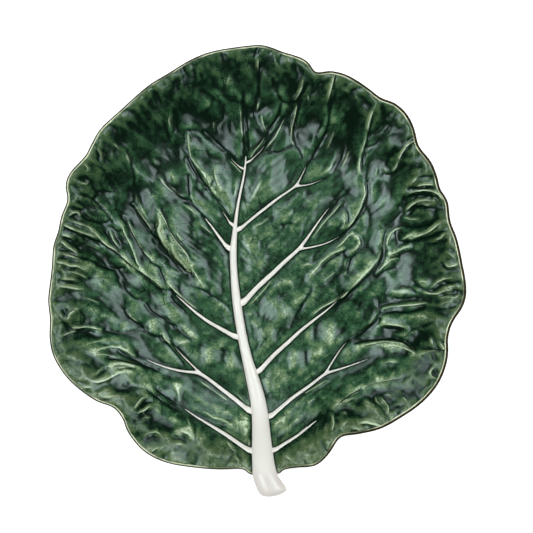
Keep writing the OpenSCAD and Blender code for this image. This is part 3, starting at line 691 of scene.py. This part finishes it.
CRUMPLE_SIZE = 4.5 * MM
CRUMPLE_HEIGHT = 0.28 * MM
CRUMPLE_DEPTH = 2.4
crumple = 1 - CRUMPLE_DEPTH * np.abs(flat_noise(x / CRUMPLE_SIZE, y / CRUMPLE_SIZE, 8))
print("wrinkled:", int((near_rim > 0).sum()), "points")

# %% [markdown]
# ## Pressed places
# A broad soft sheen shows where the moulder pressed the leaf flat with a slight tilt to a lamp. Each
# place has its middle and its half width and height in pixels, and its rise towards the right in
# degrees. The level comes from a flat piece fitted to the leaf there.

# %% Leaf pressed towards the lamps
PRESSED_PX = [
    (377, 182, 14, 28, 14), (381, 228, 14, 26, 13), (384, 264, 12, 18, 15), (401, 280, 15, 14, 15),
    (396, 141, 8, 8, 14), (188, 165, 24, 16, -14), (181, 226, 12, 16, -14), (141, 304, 16, 15, -14),
    (157, 326, 10, 9, -14), (132, 250, 11, 20, -14), (172, 284, 10, 14, -13), (117, 349, 19, 10, -14),
    (217, 287, 6, 14, -13), (215, 357, 11, 8, -14), (268, 310, 17, 11, 13), (280, 178, 20, 26, -13),
    (122, 382, 13, 14, -14), (359, 412, 17, 12, 13), (184, 438, 9, 9, -13), (324, 332, 10, 12, 13),
    (300, 360, 10, 10, -13), (352, 262, 9, 11, 13)]
PRESS_SHARE = 0.85
PRESS_LIMIT = 1.1 * MM
SLOPE_KEPT = 0.5
pressing, pressed = np.zeros(len(leaf_points)), np.zeros(len(leaf_points))
for place_x, place_y, half_width, half_height, degrees in PRESSED_PX:
    off = leaf_px - (place_x, place_y)
    window = np.exp(-(off[:, 0] / half_width) ** 4 - (off[:, 1] / half_height) ** 4) * facing_up
    inside = window > 0.3
    rows = np.column_stack([np.ones(inside.sum()), off[inside] * M_PER_PX])
    middle, _, down_slope = np.linalg.lstsq(rows, leaf_points[inside, 2], rcond=None)[0]
    tilt = math.tan(math.radians(degrees)) * off[:, 0] + SLOPE_KEPT * down_slope * off[:, 1]
    flat = middle + tilt * M_PER_PX
    pressing += np.clip(flat - leaf_points[:, 2], -PRESS_LIMIT, PRESS_LIMIT) * window * PRESS_SHARE
    pressed = np.maximum(pressed, window)
print("pressed:", len(PRESSED_PX), "places, down by up to", round(-pressing.min() / MM, 2), "mm")

# %% [markdown]
# The reliefs are added up. Pressing smooths the pucker, all of them fade towards a rib, which stays
# seated, and the result is kept inside the box of the solids.

# %% Relief of the leaf
RIB_CLEARANCE = 3.2 * MM
PUCKER_PRESSED_OUT = 0.88
STREAK_LOST_AT_RIM = 0.6
off_ribs = np.clip(rib_gap / RIB_CLEARANCE, 0, 1) ** 1.5
relief = CREST_HEIGHT * crests - CREASE_DEPTH * creases + CRUMPLE_HEIGHT * near_rim * crumple
relief += (pressing + PUCKER_HEIGHT * pucker * (1 - PUCKER_PRESSED_OUT * pressed)
           + STREAK_HEIGHT * streak * (1 - STREAK_LOST_AT_RIM * near_rim)
           + WRINKLE_HEIGHT * near_rim * wrinkle)
relief *= off_ribs * facing_up
leaf_points[:, 2] += relief
leaf_points = np.clip(leaf_points, cad_low, cad_high)
move_points(leaf, leaf_points)
print("relief: from", round(relief.min() / MM, 2), "to", round(relief.max() / MM, 2), "mm")

# %% [markdown]
# ## Where the glaze is thin and where it pools
# Molten glaze runs off crests into hollows, so crests look olive and hollows nearly black. Heights
# less their average over the mesh around tell the two apart, once for fine crests and once for broad.


# %% Crests and hollows, fine and broad
def spread(values, rounds):
    """Values of the leaf averaged over and over with their neighbours'."""
    edges = np.empty(len(leaf.data.edges) * 2, dtype=np.int64)
    leaf.data.edges.foreach_get("vertices", edges)
    one, other = edges.reshape(-1, 2).T
    count = np.bincount(one, minlength=len(values)) + np.bincount(other, minlength=len(values))
    for _ in range(rounds):
        total = np.bincount(one, values[other], len(values)) + np.bincount(other, values[one], len(values))
        values = 0.5 * values + 0.5 * total / count
    return values


FINE_ROUNDS, BROAD_ROUNDS = (1, 12), (10, 90)
FULL_FINE_CREST = 0.20 * MM
FULL_BROAD_CREST = 0.6 * MM
heights = leaf_points[:, 2]
fine_crest, broad_crest = [
    spread(heights, few) - spread(heights, many) for few, many in (FINE_ROUNDS, BROAD_ROUNDS)]
print("typical crests: fine", round(float(np.std(fine_crest)) / MM, 3), "mm, broad",
      round(float(np.std(broad_crest)) / MM, 3), "mm")

# %% [markdown]
# One blistered patch left of the midrib is much paler. It is a chain of discs, each with its middle
# and its radius in pixels.

# %% Pale patch
PALE_PATCH_PX = [
    (158, 215, 0.5), (157.5, 224, 3), (160, 234, 4), (165, 243, 3.2), (168, 248, 2.2),
    (172, 252, 4), (178, 259, 5), (184, 266, 4), (190, 272, 0.5)]
PATCH_DISCS = 50
stops = np.array(PALE_PATCH_PX)
at_discs = np.linspace(0, len(stops) - 1, PATCH_DISCS)
discs = np.transpose([np.interp(at_discs, np.arange(len(stops)), column) for column in stops.T])
patch_gap = np.min([np.linalg.norm(leaf_px - disc[:2], axis=1) - disc[2] for disc in discs], axis=0)
print("pale patch:", int((patch_gap < 0).sum()), "points")

# %% [markdown]
# A glaze that is poured and brushed isn't equally thick. Dabs say where it is paler than the heights alone
# make it, or below zero darker: the middle and half width and height in pixels, and the change. Some pale
# dabs are painted sheen, brightening places where the glaze shows a broad soft reflection.

# %% Dabs of thinner and thicker glaze, and of painted sheen
GLAZE_AND_SHEEN_DABS_PX = [
    (246, 205, 18, 18, 0.10), (246, 278, 14, 18, 0.12), (318, 170, 16, 16, 0.10),
    (284, 206, 18, 16, 0.09), (104, 386, 22, 14, 0.15), (282, 420, 18, 18, 0.12),
    (284, 386, 16, 16, 0.08), (228, 425, 14, 20, 0.10), (174, 352, 16, 14, 0.08),
    (208, 205, 14, 14, 0.08), (392, 270, 14, 22, 0.06), (350, 252, 16, 20, 0.03),
    (378, 310, 16, 16, 0.04), (356, 300, 18, 26, -0.17), (424, 352, 22, 16, -0.13),
    (430, 385, 18, 16, -0.12), (192, 118, 14, 9, -0.12), (230, 130, 14, 14, -0.10),
    (380, 222, 16, 55, 0.06), (405, 386, 40, 24, -0.03), (190, 295, 34, 40, -0.05),
    (212, 442, 34, 16, 0.08), (138, 206, 18, 16, -0.08), (174, 206, 14, 14, -0.08),
    (146, 242, 30, 18, -0.09), (138, 314, 34, 16, -0.08), (68, 206, 14, 16, -0.12),
    (68, 346, 14, 18, -0.10), (342, 312, 12, 20, -0.12), (356, 352, 16, 18, 0.10),
    (208, 206, 14, 14, 0.07), (246, 240, 14, 16, 0.10), (172, 314, 14, 14, 0.06),
    (210, 386, 16, 14, -0.06), (174, 424, 16, 14, -0.06), (392, 424, 16, 12, 0.06),
    (318, 136, 14, 12, -0.07), (140, 424, 20, 16, -0.16), (210, 242, 16, 16, -0.07),
    (174, 62, 18, 14, -0.10), (174, 166, 16, 14, -0.05),
]
DAB_SHARPNESS = 0.7
glaze_and_sheen_tone = np.zeros(len(leaf_points))
for dab_x, dab_y, half_width, half_height, change in GLAZE_AND_SHEEN_DABS_PX:
    off = (leaf_px - (dab_x, dab_y)) / (half_width, half_height)
    glaze_and_sheen_tone += change * np.exp(-(off ** 2).sum(axis=1) * DAB_SHARPNESS)
print("dabs:", len(GLAZE_AND_SHEEN_DABS_PX))

# %% What the glaze reads from the leaf
LINE_CLEARANCE = 0.8 * MM
FARTHEST_RIB_MM = 10
FARTHEST_EDGE_MM = 30
for name, values in {
        "pale_patch": np.clip(0.5 - patch_gap * 0.5, 0, 1) * facing_up,
        "glaze_and_sheen_tone": glaze_and_sheen_tone,
        "fine_crest": np.clip(fine_crest / FULL_FINE_CREST, -1, 1) * facing_up,
        "broad_crest": np.clip(broad_crest / FULL_BROAD_CREST, -1, 1) * facing_up,
        "crest_gap": crest_gap,
        "crest_line": crest_line * facing_up * np.clip(rib_gap / LINE_CLEARANCE, 0, 1),
        "crease_gap": crease_gap,
        "crease_line": crease_line * facing_up,
        "rib_gap_mm": np.clip(rib_gap / MM, 0, FARTHEST_RIB_MM),
        "edge_gap_mm": np.clip(edge_gap / MM, 0, FARTHEST_EDGE_MM)}.items():
    store(leaf, name, values)
print("kept on the leaf:", len(leaf.data.attributes), "attributes")

# %% [markdown]
# ## Writing glazes as sums
# A node tree is easier to read as arithmetic. A Wire is one output of a node, and sums and products
# of wires add the Math nodes.


# %% Wires and finishes
def maths(operation, flipped=False):
    """A method that joins a wire and another value in a Math node."""
    def joined(self, other):
        first, second = (other, self) if flipped else (self, other)
        return self.finish.node("ShaderNodeMath", {"operation": operation}, {0: first, 1: second})
    return joined


class Wire:
    """One output of a node, which can be added, subtracted and multiplied."""

    def __init__(self, finish, socket):
        self.finish, self.socket = finish, socket

    __add__ = __radd__ = maths("ADD")
    __sub__, __rsub__ = maths("SUBTRACT"), maths("SUBTRACT", flipped=True)
    __mul__ = __rmul__ = maths("MULTIPLY")
    least, most = maths("MINIMUM"), maths("MAXIMUM")


class Finish:
    """A material and its node tree. The constants are names of the shader's sockets."""

    def __init__(self, name, **constants):
        self.material = bpy.data.materials.new(name)
        self.material.use_nodes = True
        self.nodes = self.material.node_tree.nodes
        self.links = self.material.node_tree.links
        self.shader = self.nodes["Principled BSDF"]
        for socket, value in constants.items():
            self.shader.inputs[socket.replace("_", " ")].default_value = value

    def node(self, kind, settings, inputs, output=0):
        """Adds a node and returns one output of it as a wire."""
        made = self.nodes.new(kind)
        for key, value in settings.items():
            setattr(made, key, value)
        for key, value in inputs.items():
            if isinstance(value, Wire):
                self.links.new(value.socket, made.inputs[key])
            else:
                made.inputs[key].default_value = value
        return Wire(self, made.outputs[output])

    def attribute(self, name):
        return self.node("ShaderNodeAttribute", {"attribute_name": name}, {}, "Fac")

    def place(self):
        return self.node("ShaderNodeTexCoord", {}, {}, "Object")

    def part(self, vector, axis):
        """The x, y or z of a vector."""
        return self.node("ShaderNodeSeparateXYZ", {}, {0: vector}, axis)

    def facing(self):
        """How far the surface faces up, from -1 to 1."""
        return self.part(self.node("ShaderNodeNewGeometry", {}, {}, "Normal"), "Z")

    def grain(self, scale, detail=2.0, roughness=0.5, at=None):
        """Noise from 0 to 1. The scale counts its waves along a metre."""
        sockets = {"Vector": at or self.place(), "Scale": scale, "Detail": detail, "Roughness": roughness}
        return self.node("ShaderNodeTexNoise", {}, sockets, "Fac")

    def step(self, value, low, high):
        """Rises smoothly from 0 at low to 1 at high."""
        sockets = {0: value, 1: low, 2: high}
        return self.node("ShaderNodeMapRange", {"interpolation_type": "SMOOTHSTEP"}, sockets)

    def blend(self, below, above, factor):
        """One colour laid over another."""
        sockets = {0: factor, 6: below, 7: above}
        return self.node("ShaderNodeMix", {"data_type": "RGBA"}, sockets, 2)

    def ramp(self, value, stops):
        """Colours along a value, each given with the place where it is reached."""
        colour = self.node("ShaderNodeValToRGB", {}, {0: value})
        elements = colour.socket.node.color_ramp.elements
        while len(elements) < len(stops):
            elements.new(1)
        for element, (place, tinted) in zip(elements, stops):
            element.position, element.color = place, tinted
        return colour

    def feed(self, socket, value):
        self.links.new(value.socket, self.shader.inputs[socket])

    def bump(self, height, strength, distance):
        sockets = {"Height": height, "Strength": strength, "Distance": distance}
        self.feed("Normal", self.node("ShaderNodeBump", {}, sockets, "Normal"))


def tint(red, green, blue):
    """A colour of the picture, given as 0 to 255, as the linear colour that a shader takes."""
    def linear(level):
        share = level / 255
        return share / 12.92 if share <= 0.04045 else ((share + 0.055) / 1.055) ** 2.4
    return (linear(red), linear(green), linear(blue), 1)


# %% [markdown]
# ## Green glaze
# The glaze runs from almost black in the creases, over bottle green, to olive on the crests. One
# value says how pale it is, a ramp turns that into colour, and lines and edges are laid over it.

# %% Glaze colours
POOLED = tint(5, 22, 11)
BOTTLE = tint(26, 49, 30)
MIDDLE_GREEN = tint(50, 81, 54)
OLIVE = tint(110, 124, 88)
PALE_OLIVE = tint(198, 203, 171)
RIM_OLIVE = tint(62, 71, 42)
LIP_CREAM = tint(226, 214, 182)
PATCH_OLIVE = tint(138, 146, 108)
EDGE_BROWN = tint(50, 34, 16)
PALENESS = [(0.10, POOLED), (0.32, BOTTLE), (0.52, MIDDLE_GREEN), (0.78, OLIVE), (1.0, PALE_OLIVE)]

# %% [markdown]
# Dark lines part the cells of a real leaf, and the mould keeps them. They follow the borders of
# warped cells, large and small, come and go in patches, and are weaker on the right.

# %% Cell lines
CELLS_PER_METRE = 120.0
SMALL_CELLS_PER_METRE = 300.0
WARPS_PER_METRE = 60.0
WARP = 9 * MM


def cell_border(glaze, at, scale, width):
    """1 on the borders between cells, and fading to 0 at a width that is a share of a cell."""
    settings = {"feature": "DISTANCE_TO_EDGE", "voronoi_dimensions": "2D"}
    border = glaze.node("ShaderNodeTexVoronoi", settings, {"Vector": at, "Scale": scale}, "Distance")
    return 1 - glaze.step(border, 0.0, width)


def cell_lines(glaze, warped, to_right, faces_up):
    """The lines of the large cells and those of the small ones."""
    patchy = glaze.step(glaze.grain(38.0, 3.0), 0.42, 0.62)
    large = cell_border(glaze, warped, CELLS_PER_METRE, 0.036) * faces_up * (0.25 + 0.75 * patchy)
    small = cell_border(glaze, warped, SMALL_CELLS_PER_METRE, 0.08) * faces_up * patchy
    return large * (1 - 0.6 * glaze.step(to_right, -0.02, 0.03)), small


# %% [markdown]
# A crest is a thin pale line with painted shade, a dark line, along its side away from the light, and a broad
# olive flank of painted light along its lit side, and a crease is a dark line. Uneven widths and broken
# strengths keep them from looking ruled.

# %% Lines of crests and creases
PAINTED_SHADE_OFF = 2.0
LIT_FLANK_OFF = 1.7


def carved_lines(glaze):
    """How strongly a crest, its painted shade, its painted lit flank and a crease show."""
    uneven = 0.35 + 1.3 * glaze.grain(330.0, 2.0)
    broken = 0.35 + 0.65 * glaze.step(glaze.grain(130.0, 2.0), 0.38, 0.58)
    crest_gap, crease_gap = glaze.attribute("crest_gap"), glaze.attribute("crease_gap")
    crest_line = glaze.attribute("crest_line")

    def drawn(gap, low, high):
        return 1 - glaze.step(gap * gap * uneven, low, high)

    # Painted shade: a dark line beside the crest, away from the light. Painted light: a broad pale flank on
    # its lit side.
    crest = drawn(crest_gap, 0.08, 1.5) * crest_line * broken
    painted_shade = (drawn(crest_gap - PAINTED_SHADE_OFF, 0.2, 1.9) * crest_line * 0.75).least(1.0)
    painted_lit_flank = drawn(crest_gap + LIT_FLANK_OFF, 0.3, 6.0) * crest_line * broken
    crease = (drawn(crease_gap, 0.12, 1.6) * glaze.attribute("crease_line")).least(1.0)
    return crest, painted_shade, painted_lit_flank, crease


# %% [markdown]
# Crests, clouds about two centimetres wide, grains and dabs, some of them painted sheen, say how pale the
# glaze is. It darkens towards the tip and the rim. The weights were found by comparing the plate with the
# picture.


# %% How pale the glaze is
def paleness(glaze, warped, speck, mottle, to_tip, calm, rim, lines):
    large_lines, small_lines = lines
    fine, broad = glaze.attribute("fine_crest"), glaze.attribute("broad_crest")
    cloud = glaze.grain(55.0, 4.0, 0.6)
    pools = glaze.step(glaze.grain(125.0, 3.0, 0.6, warped), 0.42, 0.56)
    grains = (speck - 0.5) * 0.40 + (mottle - 0.5) * (0.36 + 0.4 * fine.most(0.0)) + pools * 0.14
    pale = 0.385 + fine * 0.28 + broad * 0.14 + (cloud - 0.5) * 0.36 + grains * (1 - 0.45 * calm)
    # The dab tone is partly uneven glaze and partly painted sheen, where a pale dab lies on a broad
    # reflection.
    pale = pale - to_tip * 1.0 + glaze.attribute("glaze_and_sheen_tone")
    return pale - large_lines * 0.40 - small_lines * 0.12 - rim * 0.15


# %% [markdown]
# The lip is cream where the glaze has run off it, and brown at the very edge, wider at the right.

# %% Lip and edge
RIM_INNER_MM = 26.0
RIM_OUTER_MM = 12.0


def lip_and_edge(glaze, colour, edge, to_right, faces_up):
    """The colour with its lip and edge, and where the brown edge is."""
    ragged = edge + (glaze.grain(160.0, 2.0) - 0.5) * 0.9
    brown_mm = 0.55 + 0.55 * glaze.step(to_right, 0.0, 0.09)
    lip = glaze.step(edge - brown_mm, 0.0, 0.3) * (1 - glaze.step(ragged - brown_mm, 0.40, 0.9)) * faces_up
    colour = glaze.blend(colour, LIP_CREAM, lip * (0.2 + 0.8 * glaze.step(glaze.grain(60.0), 0.38, 0.56)))
    outer = 1 - glaze.step(edge - brown_mm, 0.0, 0.25)
    return glaze.blend(colour, EDGE_BROWN, outer * 0.95), outer


# %% [markdown]
# Only the clear coat on top mirrors the lamps. Its film is thinner on dark lines, on the rim and
# where a dab is dark, so those places stay deep green under a lamp.

# %% Green glaze of the leaf
COAT_ROUGHNESS = 0.20
RIB_SHADOW_MM = (0.35, 1.30)


def green_glaze():
    glaze = Finish("green_glaze", Roughness=0.2, Specular_IOR_Level=0.0, Coat_Roughness=COAT_ROUGHNESS,
                   Coat_IOR=1.48)
    place = glaze.place()
    sockets = {"Vector": place, "Scale": WARPS_PER_METRE, "Detail": 2.0}
    warp = glaze.node("ShaderNodeTexNoise", {}, sockets, "Color")
    sockets = {0: warp, 1: (WARP, WARP, WARP), 2: place}
    warped = glaze.node("ShaderNodeVectorMath", {"operation": "MULTIPLY_ADD"}, sockets)
    to_right, to_tip = glaze.part(place, "X"), glaze.part(place, "Y")
    faces_up = glaze.step(glaze.facing(), 0.2, 0.6)
    calm = glaze.step(to_tip, 0.03, 0.08)
    edge = glaze.attribute("edge_gap_mm")
    rim = 1 - glaze.step(edge, RIM_OUTER_MM, RIM_INNER_MM)
    speck, mottle = glaze.grain(420.0, 3.0, 0.6), glaze.grain(820.0, 2.0, 0.7)
    lines = cell_lines(glaze, warped, to_right, faces_up)
    crest, painted_shade, painted_lit_flank, crease = carved_lines(glaze)

    pale = paleness(glaze, warped, speck, mottle, to_tip, calm, rim, lines)
    colour = glaze.ramp(pale, PALENESS)
    colour = glaze.blend(colour, RIM_OLIVE, rim * glaze.step(pale, 0.24, 0.56) * (0.65 - 0.1 * calm))
    spots = 0.15 + 0.85 * glaze.step(speck + mottle, 0.93, 1.10)
    patch = glaze.step(glaze.attribute("pale_patch"), 0.35, 0.65)
    # Beside a rib the glaze is darkened: partly glaze pooled at the rib's foot, partly painted shade between
    # rib and leaf.
    beside_rib = 1 - glaze.step(glaze.attribute("rib_gap_mm"), *RIB_SHADOW_MM)
    # Among these, the crest flanks are painted light and the dark lines beside crests are painted shade.
    for laid, strength in [
            (PATCH_OLIVE, patch * spots), (PATCH_OLIVE, painted_lit_flank.least(1.0) * (0.25 + 0.4 * rim)),
            (POOLED, painted_shade), (PALE_OLIVE, crest.least(1.0) * 0.90), (POOLED, crease * 0.95),
            (POOLED, beside_rib * 0.94 * faces_up)]:
        colour = glaze.blend(colour, laid, strength)
    colour, outer = lip_and_edge(glaze, colour, edge, to_right, faces_up)
    glaze.feed("Base Color", colour)

    film = (0.31 + glaze.grain(80.0, 4.0, 0.6) + glaze.attribute("glaze_and_sheen_tone") * 2.8).least(1.0).most(0.0)
    film = film * (1 - 0.5 * lines[0]) * (1 - 0.22 * rim)
    dark = (1 - crease * 0.85) * (1 - painted_shade * 0.6) * (1 - outer * 0.8) * (1 - beside_rib * 0.5)
    glaze.feed("Coat Weight", film * dark)
    glaze.bump(glaze.grain(210.0, 2.0) * 0.30 + crest * 0.25 - crease * 0.30 - lines[0] * 0.05, 0.9, MM)
    return glaze.material


leaf.data.materials.append(green_glaze())
print("leaf:", len(leaf.active_material.node_tree.nodes), "nodes of glaze")

# %% [markdown]
# ## White glaze
# The ribs are wiped clean of green. A little of it creeps up their flanks, which face sideways, but
# not where two ribs join. A fading vein turns green, and the bare stalk is a little cooler.

# %% Rib colours
RIB_WHITE = tint(238, 218, 211)
RIB_SHADE = tint(229, 210, 202)
STALK_WHITE = tint(222, 200, 194)
CREEP_GREEN = tint(38, 66, 46)
VEIN_END_GREEN = tint(118, 136, 104)
STALK_TO_LEAF_Y = (-0.123, -0.113)


# %% White glaze of the ribs
def white_glaze():
    glaze = Finish("white_glaze", Roughness=0.25, IOR=1.45)
    on_leaf = glaze.step(glaze.part(glaze.place(), "Y"), *STALK_TO_LEAF_Y)
    ragged = glaze.grain(300.0, 3.0, 0.6) - 0.5
    steep = 1 - glaze.step(glaze.facing() + ragged * 0.25, 0.12, 0.42)
    colour = glaze.blend(RIB_WHITE, RIB_SHADE, glaze.grain(70.0, 3.0))
    colour = glaze.blend(STALK_WHITE, colour, on_leaf)
    clear = 1 - glaze.step(glaze.attribute("joint"), 0.15, 0.60)
    colour = glaze.blend(colour, CREEP_GREEN, steep * on_leaf * clear * 0.9)
    fade = glaze.attribute("fade") + ragged * 0.5
    colour = glaze.blend(colour, VEIN_END_GREEN, glaze.step(fade, 0.55, 1.0) * 0.8)
    glaze.feed("Base Color", colour)
    glaze.feed("Roughness", 0.18 + 0.12 * glaze.grain(160.0))
    glaze.bump(glaze.grain(220.0, 3.0), 0.2, 0.6 * MM)
    return glaze.material


white = white_glaze()
for rib in ribs:
    rib.data.materials.append(white)
print("ribs:", len(white.node_tree.nodes), "nodes of glaze")

# %% [markdown]
# ## Foot ring
# The foot ring keeps its solid. Its pale clay has a thin glaze, and its tread is wiped bare, or the
# plate would stick to the kiln shelf.

# %% Clay of the foot ring
GLAZED_CLAY = tint(120, 138, 104)
BARE_CLAY = tint(216, 206, 184)
CLAY_SPECK = tint(150, 128, 96)
BARE_HEIGHT = (0.6 * MM, 1.4 * MM)
BARE_RAGGED = 1.2 * MM


def foot_clay():
    clay = Finish("foot_clay", Roughness=0.4, IOR=1.5)
    height = clay.part(clay.place(), "Z") + (clay.grain(120.0, 3.0) - 0.5) * BARE_RAGGED
    bare = 1 - clay.step(height, *BARE_HEIGHT)
    speck = clay.step(clay.grain(900.0, 2.0), 0.62, 0.75)
    colour = clay.blend(clay.blend(GLAZED_CLAY, BARE_CLAY, bare), CLAY_SPECK, speck * 0.4)
    clay.feed("Base Color", colour)
    clay.feed("Roughness", 0.22 + 0.55 * bare)
    clay.bump(clay.grain(700.0, 4.0), 0.25, 0.3 * MM)
    return clay.material


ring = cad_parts["foot_ring"]
ring.data.materials.clear()
ring.data.materials.append(foot_clay())
ring.data.shade_smooth()
print("foot ring:", ring.active_material.name)

# %% [markdown]
# ## Table and light
# The white table glows a little, so that the plate's shadow stays faint. Broad soft lights stand
# left, right and beyond the tip, and nothing bright is straight above: what lies flat stays deep
# green, and only slopes catch a soft reflection.

# %% Table
TABLE_HALF = 2.5
TABLE_GLOW = 0.75
TABLE_WHITES = [(0.80, 0.80, 0.80, 1), (0.78, 0.78, 0.78, 1)]


def table_top():
    top = bpy.data.objects.new("table_top", bpy.data.meshes.new("table_top"))
    bm = bmesh.new()
    bmesh.ops.create_grid(bm, x_segments=1, y_segments=1, size=TABLE_HALF)
    bm.to_mesh(top.data)
    bm.free()
    bpy.context.collection.objects.link(top)
    paint = Finish("table_paint", Roughness=0.7, Emission_Strength=TABLE_GLOW, Emission_Color=(1, 1, 1, 1))
    paint.feed("Base Color", paint.blend(*TABLE_WHITES, paint.grain(8.0)))
    top.data.materials.append(paint.material)


table_top()
print("table:", 2 * TABLE_HALF, "m wide")

# %% [markdown]
# A softbox is brightest in its middle. Six lamps inside each other give that falloff, the small ones
# a little nearer to the plate, because lamps in one plane would hide each other.

# %% Lights
LAMP_DISTANCE = 1.6
LAMP_DEPTH_SHARE = 0.1
LAMP_LAYERS = (1.0, 0.88, 0.76, 0.64, 0.52, 0.40)
COOL = (0.79, 0.98, 0.98)
WORLD_TINT = (0.95, 0.97, 1.0, 1)
WORLD_STRENGTH = 0.08


def softbox(name, bearing, off_zenith, across, out, radiance):
    turn, lean = math.radians(bearing), math.radians(off_zenith)
    side = math.sin(lean) * LAMP_DISTANCE
    place = Vector((side * math.cos(turn), side * math.sin(turn), math.cos(lean) * LAMP_DISTANCE))
    for layer in LAMP_LAYERS:
        light = bpy.data.lights.new(f"{name}_{int(layer * 100)}", "AREA")
        light.shape, light.size, light.size_y = "ELLIPSE", across * layer, out * layer
        light.energy = radiance / len(LAMP_LAYERS) * math.pi * (math.pi / 4 * across * out * layer ** 2)
        light.color = COOL
        box = bpy.data.objects.new(light.name, light)
        box.location = place * (1 - LAMP_DEPTH_SHARE + LAMP_DEPTH_SHARE * layer)
        box.rotation_euler = (-place).to_track_quat("-Z", "Y").to_euler()
        bpy.context.collection.objects.link(box)
    print(name, "stands", off_zenith, "degrees off the zenith")


softbox("left_softbox", bearing=187, off_zenith=28, across=2.0, out=0.86, radiance=7.6)
softbox("right_softbox", bearing=13, off_zenith=28, across=2.0, out=0.86, radiance=7.6)
softbox("tip_softbox", bearing=95, off_zenith=32, across=1.5, out=0.7, radiance=3.4)

surroundings = bpy.data.worlds.new("surroundings")
surroundings.use_nodes = True
background = surroundings.node_tree.nodes["Background"].inputs
background["Color"].default_value = WORLD_TINT
background["Strength"].default_value = WORLD_STRENGTH
bpy.context.scene.world = surroundings
